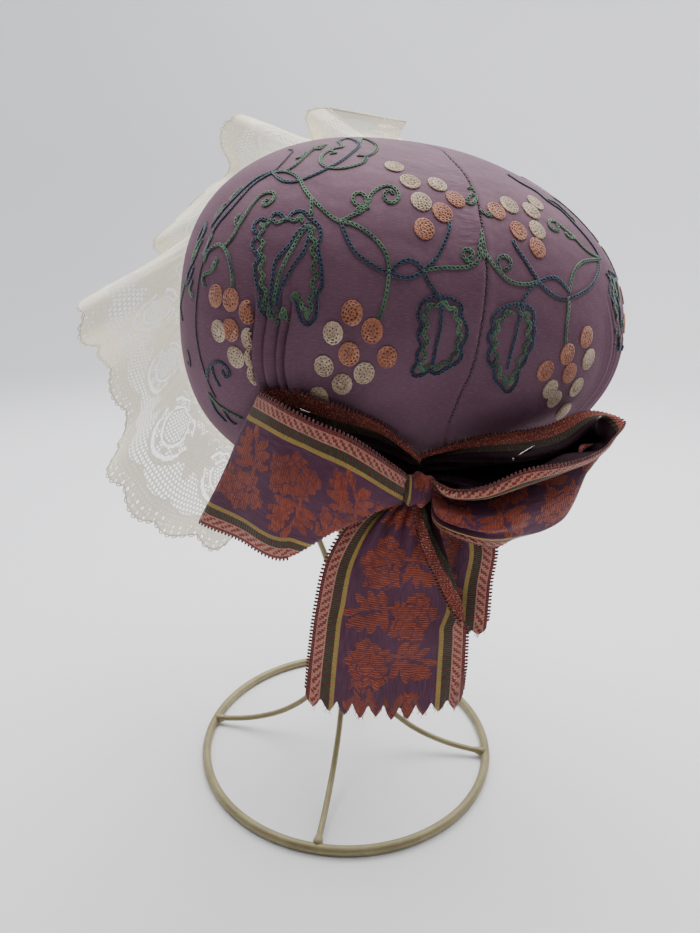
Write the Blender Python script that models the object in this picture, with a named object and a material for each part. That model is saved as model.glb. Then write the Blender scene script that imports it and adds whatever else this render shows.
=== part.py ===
# Embroidered folk cap with a lace frill and a ribbon bow, on a wire hat stand.
# Lengths are in metres and +Z is up. The pieces are laid out from the middle of the stand's
# base ring, with the back of the cap towards -Y, and are moved at the end so that the origin
# is under the middle of the whole part.

import math

import bmesh
import bpy
from mathutils import Matrix, Vector

MM = 0.001
GAP = 0.3 * MM

# Wire stand
RING_RADIUS = 87.0 * MM
RING_WIRE = 5.1 * MM
LEG_WIRE = 3.4 * MM
WELD_RADIUS = 2.5 * MM
WELD_INSET = 3.0 * MM
WELD_HEIGHT = 3.7 * MM
FIRST_LEG = math.radians(-9.5)
CAGE_RADIUS = 66.0 * MM
CAGE_HEIGHT = 252.0 * MM
CAGE_SQUARENESS = 3.0
RING_STEPS = 48
RING_SIDES = 8
WIRE_SIDES = 6
DOME_STEPS = 9
CROSSING_DROP = 1.4 * MM
EDGE_LIFT = 0.15 * MM

# Cap form: a rounded egg, turned and tilted on the stand
CAP_CENTRE = Vector((26.5, -19.0, 264.0)) * MM
CAP_TURN = math.radians(16.7)
CAP_LEAN = math.radians(7.5)
CAP_TILT = math.radians(28.0)
HALF_WIDTH = 108.5 * MM
BACK_DEPTH = 75.5 * MM
FACE_DEPTH = 92.0 * MM
RISE = 75.5 * MM
DROP = 98.5 * MM
SQUARENESS = 2.25
WALL = 2.5 * MM
TOP_POLE = math.radians(10.0)

# Cap edges, as angles in degrees: longitude from the back seam, polar angle from the top pole
FACE_EDGE = 100.0
EAR_CURVE = 14.0
NAPE_EDGE = 147.0
EAR_EDGE = 135.0
EAR_CURVE_SPAN = (95.0, 140.0)
CAP_ROWS = 20
BACK_COLUMNS = (9.0, 17.0, 26.0, 35.0, 43.0)
FACE_COLUMNS = (61.0, 68.0, 77.0, 88.0)
POLE_SPAN = (5.0, 20.0)

# Pleats at each side of the nape
PLEAT_EDGES = (47.6, 49.7, 53.0, 56.0)
PLEAT_STEP = 0.8
PLEAT_CREST = 1.2 * MM
PLEAT_VALLEY = 1.0 * MM
PLEAT_SPAN = (80.0, 92.0)
PLEAT_DRIFT = 12.0
DRIFT_SPAN = (88.0, 114.0)
DRIFT_BACK_SPAN = (20.0, 45.0)
DRIFT_FACE_SPAN = (62.0, 96.0)
SEAM_DIP = 0.8 * MM
SEAM_HALF_WIDTH = 2.5

# Lace and ribbon
LACE_THICKNESS = 1.0 * MM
LACE_STEPS = 3
LACE_ROWS = 4
LACE_FORWARD_SHARE = 0.3
RIM_STEP = 3.0
RIBBON_THICKNESS = 1.0 * MM
RIBBON_COLUMNS = 6
LOOP_STEPS = 3
TAIL_STEPS = 2
TAIL_TEETH = 9
TAIL_DROOP = 4.5 * MM
TOOTH_DEPTH = 5.0 * MM
BACK_TOOTH_DEPTH = 3.5 * MM

# Half of a stand wire, from the base ring up to the cage's widest level, mm
WIRE_SHAPE = (
    # radius, height
    (87.0, 3.6),
    (66.0, 6.6),
    (48.0, 12.5),
    (35.0, 20.0),
    (24.0, 30.0),
    (15.0, 46.0),
    (10.5, 68.0),
    (9.5, 94.0),
    (13.0, 124.0),
    (30.0, 162.0),
    (50.0, 202.0),
    (62.5, 231.0),
    (66.0, 252.0),
)

# Sections of the lace frill, from the left ear over the top to the right ear. The angle says
# where a section leaves the face edge, counted from the top pole; the rest says how its outer
# edge stands off there, in mm, with the last number along the edge towards the top.
LACE_SECTIONS = (
    # angle, outward, forward, along
    (-135.0, 41.0, 46.0, -3.0),
    (-128.0, 49.0, 52.0, -7.0),
    (-121.0, 51.0, 51.0, -7.0),
    (-114.0, 58.0, 40.0, -17.0),
    (-108.0, 58.0, 35.0, -24.0),
    (-103.0, 58.0, 33.0, -27.0),
    (-98.0, 50.0, 39.0, -34.0),
    (-94.0, 43.0, 44.0, -38.0),
    (-89.0, 48.0, 47.0, -27.0),
    (-85.0, 46.0, 40.0, -28.0),
    (-81.0, 46.0, 26.0, -34.0),
    (-77.0, 46.0, 12.0, -40.0),
    (-72.0, 45.0, 8.0, -47.0),
    (-68.0, 43.0, 12.0, -49.0),
    (-63.0, 31.0, 42.0, -42.0),
    (-58.0, 16.0, 58.0, -36.0),
    (-53.0, 19.0, 54.0, -42.0),
    (-48.0, 17.0, 62.0, -30.0),
    (-44.0, 10.0, 68.0, -18.0),
    (-39.0, 20.0, 65.0, -20.0),
    (-32.0, 31.0, 56.0, -31.0),
    (-25.0, 37.0, 48.0, -40.0),
    (-18.0, 30.0, 54.0, -36.0),
    (-12.0, 20.0, 62.0, -24.0),
    (-6.0, 31.0, 54.0, -34.0),
    (0.0, 36.0, 57.0, -25.0),
    (6.0, 33.0, 61.0, -10.0),
    (13.0, 25.0, 60.0, -24.0),
    (22.0, 9.0, 68.0, -8.0),
    (32.0, 13.0, 66.0, -10.0),
    (42.0, 6.0, 69.0, 0.0),
    (53.0, 17.0, 64.0, -14.0),
    (64.0, 7.0, 68.0, 0.0),
    (76.0, 22.0, 62.0, -14.0),
    (88.0, 11.0, 67.0, 0.0),
    (100.0, 23.0, 62.0, -12.0),
    (112.0, 12.0, 66.0, 0.0),
    (124.0, 18.0, 62.0, -6.0),
    (135.0, 8.0, 60.0, 0.0),
)

# Each ribbon piece is a row of crosswise sections, mm. Bulge lifts the middle of a section.
LEFT_LOOP = (
    # top x, y, z, bottom x, y, z, bulge
    (22.0, -93.0, 204.0, 22.0, -92.0, 198.0, 0.5),
    (17.0, -100.0, 213.0, 15.0, -97.0, 195.0, 1.5),
    (1.0, -107.0, 226.0, -5.0, -99.0, 185.0, 3.0),
    (-18.0, -105.0, 234.0, -28.0, -93.0, 169.0, 2.5),
    (-30.0, -99.0, 239.0, -48.0, -84.0, 174.0, 1.5),
    (-37.0, -92.5, 241.0, -67.0, -75.0, 178.0, 0.0),
    (-33.0, -91.5, 242.0, -63.0, -70.0, 178.0, -1.0),
    (-22.0, -94.0, 242.0, -50.0, -66.0, 175.0, -1.0),
    (-6.0, -95.5, 237.0, -30.0, -67.0, 173.0, 0.0),
    (10.0, -91.0, 227.0, 2.0, -73.0, 182.0, 0.0),
    (21.5, -86.5, 206.0, 22.0, -86.0, 199.0, 0.0),
)

RIGHT_LOOP = (
    # top x, y, z, bottom x, y, z, bulge
    (35.0, -93.0, 203.0, 35.0, -92.0, 197.0, 0.5),
    (42.0, -101.0, 203.0, 41.0, -97.0, 189.0, 1.5),
    (55.0, -107.0, 208.0, 52.0, -98.0, 184.0, 4.0),
    (71.0, -107.0, 215.0, 63.0, -97.0, 181.0, 5.0),
    (90.0, -100.0, 216.0, 77.0, -93.0, 183.0, 5.0),
    (107.0, -87.0, 219.0, 91.0, -88.0, 189.0, 3.0),
    (119.0, -72.0, 224.5, 101.0, -82.0, 198.0, 0.0),
    (117.0, -66.0, 228.0, 100.0, -76.0, 195.0, -1.0),
    (104.0, -64.0, 229.0, 90.0, -72.0, 188.0, -1.0),
    (84.0, -69.0, 222.5, 76.0, -72.0, 182.0, 0.0),
    (60.0, -77.0, 218.0, 60.0, -76.0, 184.0, 0.0),
    (35.5, -86.5, 206.0, 35.0, -86.0, 199.0, 0.0),
)

FRONT_TAIL = (
    # left x, y, z, right x, y, z, bulge
    (24.5, -92.2, 194.5, 32.5, -92.2, 194.5, 0.0),
    (5.0, -96.0, 185.0, 39.0, -98.0, 181.0, 2.0),
    (-9.0, -97.0, 171.0, 45.0, -98.0, 163.0, 2.0),
    (-14.0, -97.0, 147.0, 51.0, -98.0, 144.0, 1.0),
    (-16.5, -96.0, 126.0, 52.5, -97.0, 125.0, 1.0),
    (-19.0, -95.0, 101.0, 53.0, -96.0, 102.0, 1.5),
)

BACK_TAIL = (
    # left x, y, z, right x, y, z, bulge
    (24.5, -88.0, 194.5, 33.5, -88.0, 194.5, 0.0),
    (11.0, -87.5, 181.0, 54.0, -87.0, 185.0, 0.0),
    (1.0, -87.0, 165.0, 64.0, -85.0, 174.0, 0.0),
    (-4.0, -86.0, 144.0, 64.0, -84.0, 152.0, 0.0),
    (-6.0, -85.0, 126.0, 64.0, -83.0, 131.0, 0.0),
)

KNOT_CENTRE = Vector((28.5, -90.0, 200.0)) * MM
KNOT_HALF = Vector((6.2, 7.0, 5.2)) * MM
KNOT_STEPS = 16
KNOT_RINGS = 8


def clear_scene():
    for old in list(bpy.data.objects):
        bpy.data.objects.remove(old, do_unlink=True)


def make_material(name, colour, roughness, metallic=0.0):
    material = bpy.data.materials.new(name)
    material.use_nodes = True
    shader = material.node_tree.nodes["Principled BSDF"]
    shader.inputs["Base Color"].default_value = (*colour, 1.0)
    shader.inputs["Roughness"].default_value = roughness
    shader.inputs["Metallic"].default_value = metallic
    return material


def make_object(name, points, faces, material):
    mesh = bpy.data.meshes.new(name)
    mesh.from_pydata([tuple(point) for point in points], [], faces)
    mesh.validate()
    mesh.materials.append(material)
    mesh.shade_smooth()
    thing = bpy.data.objects.new(name, mesh)
    bpy.context.scene.collection.objects.link(thing)
    return thing


def face_outwards(thing):
    shape = bmesh.new()
    shape.from_mesh(thing.data)
    bmesh.ops.recalc_face_normals(shape, faces=shape.faces)
    shape.to_mesh(thing.data)
    shape.free()


def smoothstep(value, low, high):
    share = min(max((value - low) / (high - low), 0.0), 1.0)
    return share * share * (3.0 - 2.0 * share)


def smooth_rows(rows, steps):
    """Catmull-Rom rows through the given rows, with a number of steps between neighbours."""
    result = []
    for index in range(len(rows) - 1):
        before = rows[max(index - 1, 0)]
        start, end = rows[index], rows[index + 1]
        after = rows[min(index + 2, len(rows) - 1)]
        for step in range(steps):
            t = step / steps
            result.append([
                0.5 * (2 * b + (c - a) * t + (2 * a - 5 * b + 4 * c - d) * t * t
                       + (3 * b - a - 3 * c + d) * t ** 3)
                for a, b, c, d in zip(before, start, end, after)
            ])
    result.append(list(rows[-1]))
    return result


# Cap form

FORM_TURN = (Matrix.Rotation(CAP_TURN, 3, "Z") @ Matrix.Rotation(CAP_LEAN, 3, "Y")
             @ Matrix.Rotation(CAP_TILT, 3, "X"))
POLE_TURN = Matrix.Rotation(CAP_TURN, 3, "Z") @ Matrix.Rotation(-TOP_POLE, 3, "X")


def form_radius(direction):
    """Distance from the cap's centre to its outer face, along a direction."""
    x, y, z = FORM_TURN.transposed() @ direction
    depth = BACK_DEPTH if y < 0 else FACE_DEPTH
    height = RISE if z > 0 else DROP
    total = (abs(x / HALF_WIDTH) ** SQUARENESS + abs(y / depth) ** SQUARENESS
             + abs(z / height) ** SQUARENESS)
    return total ** (-1.0 / SQUARENESS)


def cap_direction(longitude, polar):
    side, down = math.radians(longitude), math.radians(polar)
    local = Vector((math.sin(down) * math.sin(side), -math.sin(down) * math.cos(side),
                    math.cos(down)))
    return POLE_TURN @ local


def cap_point(longitude, polar, offset=0.0):
    direction = cap_direction(longitude, polar)
    return CAP_CENTRE + direction * (form_radius(direction) + offset)


def lowest_polar(longitude):
    return NAPE_EDGE - (NAPE_EDGE - EAR_EDGE) * (longitude / FACE_EDGE) ** 2


def edge_longitude(polar):
    return FACE_EDGE - EAR_CURVE * smoothstep(polar, *EAR_CURVE_SPAN)


def drifted_longitude(column, polar):
    """The pleats lean towards the face as they run down, and their neighbours follow."""
    near = smoothstep(abs(column), *DRIFT_BACK_SPAN)
    near *= 1.0 - smoothstep(abs(column), *DRIFT_FACE_SPAN)
    drift = PLEAT_DRIFT * smoothstep(polar, *DRIFT_SPAN) * near
    return column * edge_longitude(polar) / FACE_EDGE + math.copysign(drift, column)


def half_columns():
    """Longitudes of one half of the cap, each with its relief and whether it is a pleat's."""
    columns = [(0.0, -SEAM_DIP, False), (SEAM_HALF_WIDTH, 0.0, False)]
    columns += [(value, 0.0, False) for value in BACK_COLUMNS]
    for edge in PLEAT_EDGES:
        columns.append((edge, PLEAT_CREST, True))
        columns.append((edge + PLEAT_STEP, -PLEAT_VALLEY, True))
    columns += [(value, 0.0, False) for value in (*FACE_COLUMNS, FACE_EDGE)]
    return columns


def make_crown(material):
    half = half_columns()
    columns = [(-c, r, p) for c, r, p in reversed(half[1:])] + half
    width = len(columns)
    outer, inner = [cap_point(0.0, 0.0)], [cap_point(0.0, 0.0, -WALL)]
    for row in range(1, CAP_ROWS + 1):
        for column, relief, is_pleat in columns:
            polar = lowest_polar(column) * row / CAP_ROWS
            longitude = drifted_longitude(column, polar)
            fade = smoothstep(polar, *PLEAT_SPAN) if is_pleat else 1.0
            fade *= smoothstep(polar, *POLE_SPAN)
            outer.append(cap_point(longitude, polar, relief * fade))
            inner.append(cap_point(longitude, polar, -WALL))
    count = len(outer)

    def at(row, column):
        return 0 if row == 0 else 1 + (row - 1) * width + column

    faces = []
    for row in range(CAP_ROWS):
        for column in range(width - 1):
            corners = [at(row, column), at(row + 1, column), at(row + 1, column + 1)]
            if row > 0:
                corners.append(at(row, column + 1))
            faces.append(corners)
            faces.append([count + index for index in reversed(corners)])
    edge = [at(row, 0) for row in range(CAP_ROWS + 1)]
    edge += [at(CAP_ROWS, column) for column in range(1, width)]
    edge += [at(row, width - 1) for row in range(CAP_ROWS - 1, 0, -1)]
    for index, first in enumerate(edge):
        second = edge[(index + 1) % len(edge)]
        faces.append([first, count + first, count + second, second])
    crown = make_object("crown", outer + inner, faces, material)
    face_outwards(crown)
    return crown


# Lace frill

def rim_point(angle):
    polar = abs(angle)
    longitude = math.copysign(edge_longitude(polar), angle)
    return cap_point(longitude, polar, -0.5 * WALL)


def rim_frame(angle):
    """A point of the face edge with its outward, forward and lengthwise directions."""
    point = rim_point(angle)
    along = (rim_point(angle + RIM_STEP) - rim_point(angle - RIM_STEP)).normalized()
    outward = point - CAP_CENTRE
    outward = (outward - along * outward.dot(along)).normalized()
    return point, outward, outward.cross(along), along


def lace_line(angle, out, ahead, lift):
    """One section of the frill, curving forwards off the cap and then outwards."""
    point, outward, forward, along = rim_frame(angle)
    base = point + forward * (GAP + 0.5 * LACE_THICKNESS)
    middle = base + forward * (LACE_FORWARD_SHARE * math.hypot(out, ahead) * MM)
    to_top = -along if angle > 0 else along
    tip = base + (outward * out + forward * ahead + to_top * lift) * MM
    line = []
    for row in range(LACE_ROWS + 1):
        share = row / LACE_ROWS
        line.append(base.lerp(middle, share).lerp(middle.lerp(tip, share), share))
    return line


def make_lace(material):
    grid = [lace_line(*section) for section in smooth_rows(LACE_SECTIONS, LACE_STEPS)]
    lace = make_sheet("lace_frill", grid, material)
    add_thickness(lace, LACE_THICKNESS)
    return lace


def make_sheet(name, grid, material):
    """An open sheet over rows of points."""
    wide = len(grid[0])
    points = [point for line in grid for point in line]
    faces = []
    for row in range(len(grid) - 1):
        for column in range(wide - 1):
            first = row * wide + column
            faces.append([first, first + 1, first + wide + 1, first + wide])
    return make_object(name, points, faces, material)


def add_thickness(thing, thickness):
    solidify = thing.modifiers.new("wall", "SOLIDIFY")
    solidify.thickness = thickness
    solidify.offset = 0.0
    solidify.use_even_offset = False


# Ribbon bow

def ribbon_grid(rows, steps, teeth, tooth_depth, droop):
    """Crosswise sections of a ribbon piece; a cut end hangs in an arc and has teeth."""
    grid = []
    sections = smooth_rows(rows, steps)
    across = 2 * teeth if teeth else RIBBON_COLUMNS
    for index, section in enumerate(sections):
        first, second = Vector(section[0:3]) * MM, Vector(section[3:6]) * MM
        line = []
        for column in range(across + 1):
            share = column / across
            point = first.lerp(second, share)
            arc = math.sin(math.pi * share)
            point.y -= section[6] * MM * arc
            point.z -= droop * arc * index / (len(sections) - 1)
            if index == len(sections) - 1 and column % 2:
                point.z -= tooth_depth
            line.append(point)
        grid.append(line)
    return grid


def make_ribbon(name, rows, material, teeth=0, tooth_depth=0.0, droop=0.0):
    steps = TAIL_STEPS if teeth else LOOP_STEPS
    grid = ribbon_grid(rows, steps, teeth, tooth_depth, droop)
    ribbon = make_sheet(name, grid, material)
    add_thickness(ribbon, RIBBON_THICKNESS)
    return ribbon


def make_knot(material):
    """A tight wrap of ribbon: a rounded barrel with its axis across the bow."""
    shape = bmesh.new()
    bmesh.ops.create_uvsphere(shape, u_segments=KNOT_STEPS, v_segments=KNOT_RINGS, radius=1.0)
    for vertex in shape.verts:
        x, y, z = vertex.co
        vertex.co = KNOT_CENTRE + Vector((x * KNOT_HALF.x, y * KNOT_HALF.y, z * KNOT_HALF.z))
    mesh = bpy.data.meshes.new("bow_knot")
    shape.to_mesh(mesh)
    shape.free()
    mesh.materials.append(material)
    mesh.shade_smooth()
    knot = bpy.data.objects.new("bow_knot", mesh)
    bpy.context.scene.collection.objects.link(knot)
    face_outwards(knot)
    return knot


# Wire stand

def make_wire(name, path, radius, sides, material, closed=False):
    """A round wire along a path of points, each with a direction square to the path."""
    points, faces = [], []
    count = len(path)
    for index, (point, sideways) in enumerate(path):
        before = path[index - 1][0] if index or closed else point
        after = path[(index + 1) % count][0] if index < count - 1 or closed else point
        upwards = sideways.cross(after - before).normalized()
        for corner in range(sides):
            angle = 2.0 * math.pi * (corner + 0.5) / sides
            points.append(point + sideways * (radius * math.cos(angle))
                          + upwards * (radius * math.sin(angle)))
    for index in range(count if closed else count - 1):
        first, second = index * sides, ((index + 1) % count) * sides
        for corner in range(sides):
            following = (corner + 1) % sides
            faces.append([first + corner, first + following, second + following,
                          second + corner])
    if not closed:
        faces.append(list(range(sides)))
        faces.append([(count - 1) * sides + corner for corner in range(sides)])
    wire = make_object(name, points, faces, material)
    face_outwards(wire)
    return wire


def inside_height(x, y):
    """Height of the cap's inner face above a point of the floor."""
    height = CAP_CENTRE.z + RISE
    for _ in range(20):
        offset = Vector((x, y, height)) - CAP_CENTRE
        height += form_radius(offset.normalized()) - WALL - offset.length
    return height


def cage_top():
    """Height of the wire's centre at the crossing, under the cap."""
    return inside_height(0.0, 0.0) + EDGE_LIFT - 0.5 * LEG_WIRE


def wire_path(turn, drop):
    """One whole wire: up from the ring, over the top of the cage and down the other side."""
    half = [(radius * MM, height * MM) for radius, height in smooth_rows(WIRE_SHAPE, 2)]
    rise = cage_top() - drop - CAGE_HEIGHT
    power = 2.0 / CAGE_SQUARENESS
    for step in range(1, DOME_STEPS + 1):
        angle = 0.5 * math.pi * step / DOME_STEPS
        half.append((CAGE_RADIUS * max(math.cos(angle), 0.0) ** power,
                     CAGE_HEIGHT + rise * math.sin(angle) ** power))
    half[-1] = (0.0, CAGE_HEIGHT + rise)
    outward = Vector((math.cos(turn), math.sin(turn), 0.0))
    up = [outward * radius + Vector((0, 0, height)) for radius, height in half]
    down = [outward * -radius + Vector((0, 0, height)) for radius, height in half[:-1]]
    sideways = Vector((-outward.y, outward.x, 0.0))
    return [(point, sideways) for point in up + list(reversed(down))]


def join_to(base, tool):
    tool.hide_render = True
    tool.display_type = "WIRE"
    union = base.modifiers.new("weld", "BOOLEAN")
    union.operation = "UNION"
    union.object = tool


def make_weld(name, centre):
    shape = bmesh.new()
    bmesh.ops.create_icosphere(shape, subdivisions=2, radius=WELD_RADIUS)
    bmesh.ops.translate(shape, verts=shape.verts, vec=centre)
    mesh = bpy.data.meshes.new(name)
    shape.to_mesh(mesh)
    shape.free()
    weld = bpy.data.objects.new(name, mesh)
    bpy.context.scene.collection.objects.link(weld)
    return weld


def make_stand(material):
    ring_path = []
    for step in range(RING_STEPS):
        angle = 2.0 * math.pi * (step + 0.5) / RING_STEPS
        outward = Vector((math.cos(angle), math.sin(angle), 0.0))
        ring_path.append((outward * RING_RADIUS + Vector((0, 0, 0.5 * RING_WIRE)), outward))
    corner_radius = 0.5 * RING_WIRE / math.cos(math.pi / RING_SIDES)
    stand = make_wire("wire_stand", ring_path, corner_radius, RING_SIDES, material, closed=True)
    for index in range(2):
        turn = FIRST_LEG + 0.5 * math.pi * index
        path = wire_path(turn, CROSSING_DROP * index)
        wire = make_wire(f"leg_wire_{index}", path, 0.5 * LEG_WIRE, WIRE_SIDES, material)
        join_to(stand, wire)
    for index in range(4):
        turn = FIRST_LEG + 0.5 * math.pi * index
        outward = Vector((math.cos(turn), math.sin(turn), 0.0))
        centre = outward * (RING_RADIUS - WELD_INSET) + Vector((0, 0, WELD_HEIGHT))
        join_to(stand, make_weld(f"weld_{index}", centre))
    return stand


def stand_on_origin():
    """Move everything so that the middle of the part's box stands on the origin."""
    bpy.context.view_layer.update()
    graph = bpy.context.evaluated_depsgraph_get()
    corners = []
    for thing in bpy.context.scene.objects:
        if not thing.hide_render:
            mesh = thing.evaluated_get(graph).to_mesh()
            corners += [thing.matrix_world @ vertex.co for vertex in mesh.vertices]
    low = Vector([min(corner[axis] for corner in corners) for axis in range(3)])
    high = Vector([max(corner[axis] for corner in corners) for axis in range(3)])
    shift = Vector((0.5 * (low.x + high.x), 0.5 * (low.y + high.y), low.z))
    for thing in bpy.context.scene.objects:
        thing.location -= shift


def build():
    clear_scene()
    silk = make_material("silk", (0.17, 0.10, 0.14), 0.55)
    lace = make_material("lace", (0.78, 0.75, 0.66), 0.85)
    brocade = make_material("brocade", (0.16, 0.05, 0.07), 0.60)
    gilt = make_material("painted_wire", (0.42, 0.37, 0.24), 0.40, 0.6)
    make_crown(silk)
    make_lace(lace)
    make_ribbon("bow_loop_left", LEFT_LOOP, brocade)
    make_ribbon("bow_loop_right", RIGHT_LOOP, brocade)
    make_knot(brocade)
    make_ribbon("bow_tail_front", FRONT_TAIL, brocade, TAIL_TEETH, TOOTH_DEPTH, TAIL_DROOP)
    make_ribbon("bow_tail_back", BACK_TAIL, brocade, TAIL_TEETH, BACK_TOOTH_DEPTH)
    make_stand(gilt)
    stand_on_origin()


build()
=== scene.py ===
# Looks of an embroidered cap on a wire hat stand: silk with chain-stitch vines, a lace frill
# and a patterned ribbon bow. Lengths are in metres, counted from the middle of the stand's ring.

import math

import bmesh
import bpy
import numpy as np
from mathutils import Matrix, Vector, noise
from mathutils.bvhtree import BVHTree


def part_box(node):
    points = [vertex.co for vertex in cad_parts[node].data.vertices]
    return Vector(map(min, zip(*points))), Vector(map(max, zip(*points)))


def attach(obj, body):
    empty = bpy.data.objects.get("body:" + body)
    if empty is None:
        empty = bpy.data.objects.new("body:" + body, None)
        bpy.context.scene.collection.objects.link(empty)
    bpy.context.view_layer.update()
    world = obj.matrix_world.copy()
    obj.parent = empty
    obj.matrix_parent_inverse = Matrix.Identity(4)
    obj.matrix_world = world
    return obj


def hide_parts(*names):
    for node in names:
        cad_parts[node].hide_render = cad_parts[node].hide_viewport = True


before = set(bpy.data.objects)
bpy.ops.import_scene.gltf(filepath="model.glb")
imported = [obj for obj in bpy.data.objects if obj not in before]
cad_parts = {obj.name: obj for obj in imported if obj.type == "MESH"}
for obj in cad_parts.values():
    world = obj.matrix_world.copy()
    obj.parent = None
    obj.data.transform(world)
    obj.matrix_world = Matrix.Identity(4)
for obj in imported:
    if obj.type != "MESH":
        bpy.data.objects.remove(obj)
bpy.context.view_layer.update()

MM = 0.001

stand_low, stand_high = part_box("wire_stand")
STAND_MIDDLE = Vector((0.5 * (stand_low.x + stand_high.x), 0.5 * (stand_low.y + stand_high.y), 0))

# Camera, as solved from the base ring in the photo
PICTURE_SIZE = (700, 933)
FOCAL_PIXELS = 674.0
CAMERA_PLACE = Vector((0.0, -358.8, 293.8)) * MM
CAMERA_PITCH = math.radians(17.29)
CAMERA_ROLL = math.radians(0.8)
CAMERA_TURN = (Matrix.Rotation(0.5 * math.pi - CAMERA_PITCH, 3, "X")
               @ Matrix.Rotation(CAMERA_ROLL, 3, "Z"))

# Cap form, the same as in the solids
CAP_CENTRE = np.array((26.5, -19.0, 264.0)) * MM
CAP_TURN = math.radians(16.7)
CAP_LEAN = math.radians(7.5)
CAP_TILT = math.radians(28.0)
HALF_WIDTH = 108.5 * MM
BACK_DEPTH = 75.5 * MM
FACE_DEPTH = 92.0 * MM
RISE = 75.5 * MM
DROP = 98.5 * MM
SQUARENESS = 2.25
WALL = 2.5 * MM
TOP_POLE = math.radians(10.0)
FACE_EDGE = 100.0
EAR_CURVE = 14.0
NAPE_EDGE = 147.0
EAR_EDGE = 135.0
PLEAT_DRIFT = 8.0

FORM_TURN = np.array(Matrix.Rotation(CAP_TURN, 3, "Z") @ Matrix.Rotation(CAP_LEAN, 3, "Y")
                     @ Matrix.Rotation(CAP_TILT, 3, "X"))
POLE_TURN = np.array(Matrix.Rotation(CAP_TURN, 3, "Z") @ Matrix.Rotation(-TOP_POLE, 3, "X"))


# Small tools

def srgb(red, green, blue):
    """A colour given in the 0 to 255 steps of a screen, as linear values."""
    return tuple(((c / 255 + 0.055) / 1.055) ** 2.4 if c > 10 else c / 3294 for c in
                 (red, green, blue))


def smoothstep(value, low, high):
    share = np.clip((value - low) / (high - low), 0.0, 1.0)
    return share * share * (3.0 - 2.0 * share)


def smooth_rows(rows, steps):
    """Catmull-Rom rows through the given rows, with a number of steps between neighbours."""
    rows = [np.array(row, float) for row in rows]
    result = []
    for index in range(len(rows) - 1):
        a, b = rows[max(index - 1, 0)], rows[index]
        c, d = rows[index + 1], rows[min(index + 2, len(rows) - 1)]
        for t in np.arange(steps) / steps:
            result.append(0.5 * (2 * b + (c - a) * t + (2 * a - 5 * b + 4 * c - d) * t * t
                                 + (3 * b - a - 3 * c + d) * t ** 3))
    result.append(rows[-1])
    return np.array(result)


def ripple(value, seed):
    """Smooth noise along a line, between -1 and 1."""
    return noise.noise(Vector((value, seed * 7.3 + 0.5, 0.0)))


def unit(vectors):
    return vectors / np.maximum(np.linalg.norm(vectors, axis=-1, keepdims=True), 1e-9)


def lengths_along(points):
    steps = np.linalg.norm(np.diff(points, axis=0), axis=1)
    return np.concatenate([[0.0], np.cumsum(steps)])


def points_at(places, path, lengths):
    """Points of a path at one or more places along it; lengths are its own points' places."""
    return np.stack([np.interp(places, lengths, path[:, axis]) for axis in range(3)], axis=-1)


def new_object(name, points, faces, material):
    """A smooth mesh from points in metres about the stand's middle."""
    mesh = bpy.data.meshes.new(name)
    mesh.from_pydata((np.asarray(points) + np.array(STAND_MIDDLE)).tolist(), [], faces)
    mesh.materials.append(material)
    mesh.shade_smooth()
    made = bpy.data.objects.new(name, mesh)
    bpy.context.scene.collection.objects.link(made)
    return made


def new_piece(name, points, faces, material, node=None, colour=None):
    piece = new_object(name, points, faces, material)
    if colour is not None:
        layer = piece.data.color_attributes.new("thread", "FLOAT_COLOR", "POINT")
        full = np.concatenate([colour, np.ones((len(colour), 1))], axis=1)
        layer.data.foreach_set("color", full.astype(np.float32).ravel())
    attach(piece, "root")
    if node:
        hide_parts(node)
    return piece


def grid_faces(rows, columns):
    return [(corner, corner + columns, corner + columns + 1, corner + 1)
            for row in range(rows - 1)
            for corner in range(row * columns, row * columns + columns - 1)]


def cloth_piece(name, grid, uv, material, node, flip=False):
    """A piece from a grid of points, whose map says the place on the cloth in millimetres."""
    faces = grid_faces(*grid.shape[:2])
    if flip:
        faces = [face[::-1] for face in faces]
    piece = new_piece(name, grid.reshape(-1, 3), faces, material, node)
    layer = piece.data.uv_layers.new(name="cloth")
    corners = np.empty(len(piece.data.loops), dtype=np.int32)
    piece.data.loops.foreach_get("vertex_index", corners)
    layer.data.foreach_set("uv", uv.reshape(-1, 2)[corners].astype(np.float32).ravel())
    return piece


def add_wall(piece, inside=None, **settings):
    """Thickness for a piece of cloth, with another material on its inner face."""
    if inside:
        piece.data.materials.append(inside)
    wall = piece.modifiers.new("wall", "SOLIDIFY")
    for name, value in settings.items():
        setattr(wall, name, value)


def join_doubles(piece, turn_out=False):
    edit = bmesh.new()
    edit.from_mesh(piece.data)
    bmesh.ops.remove_doubles(edit, verts=edit.verts, dist=1e-6)
    if turn_out:
        bmesh.ops.recalc_face_normals(edit, faces=edit.faces)
    edit.to_mesh(piece.data)
    edit.free()


def ring_faces(first, second, sides):
    """Faces between two rings of points."""
    return [(first + corner, first + (corner + 1) % sides, second + (corner + 1) % sides,
             second + corner) for corner in range(sides)]


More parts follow.
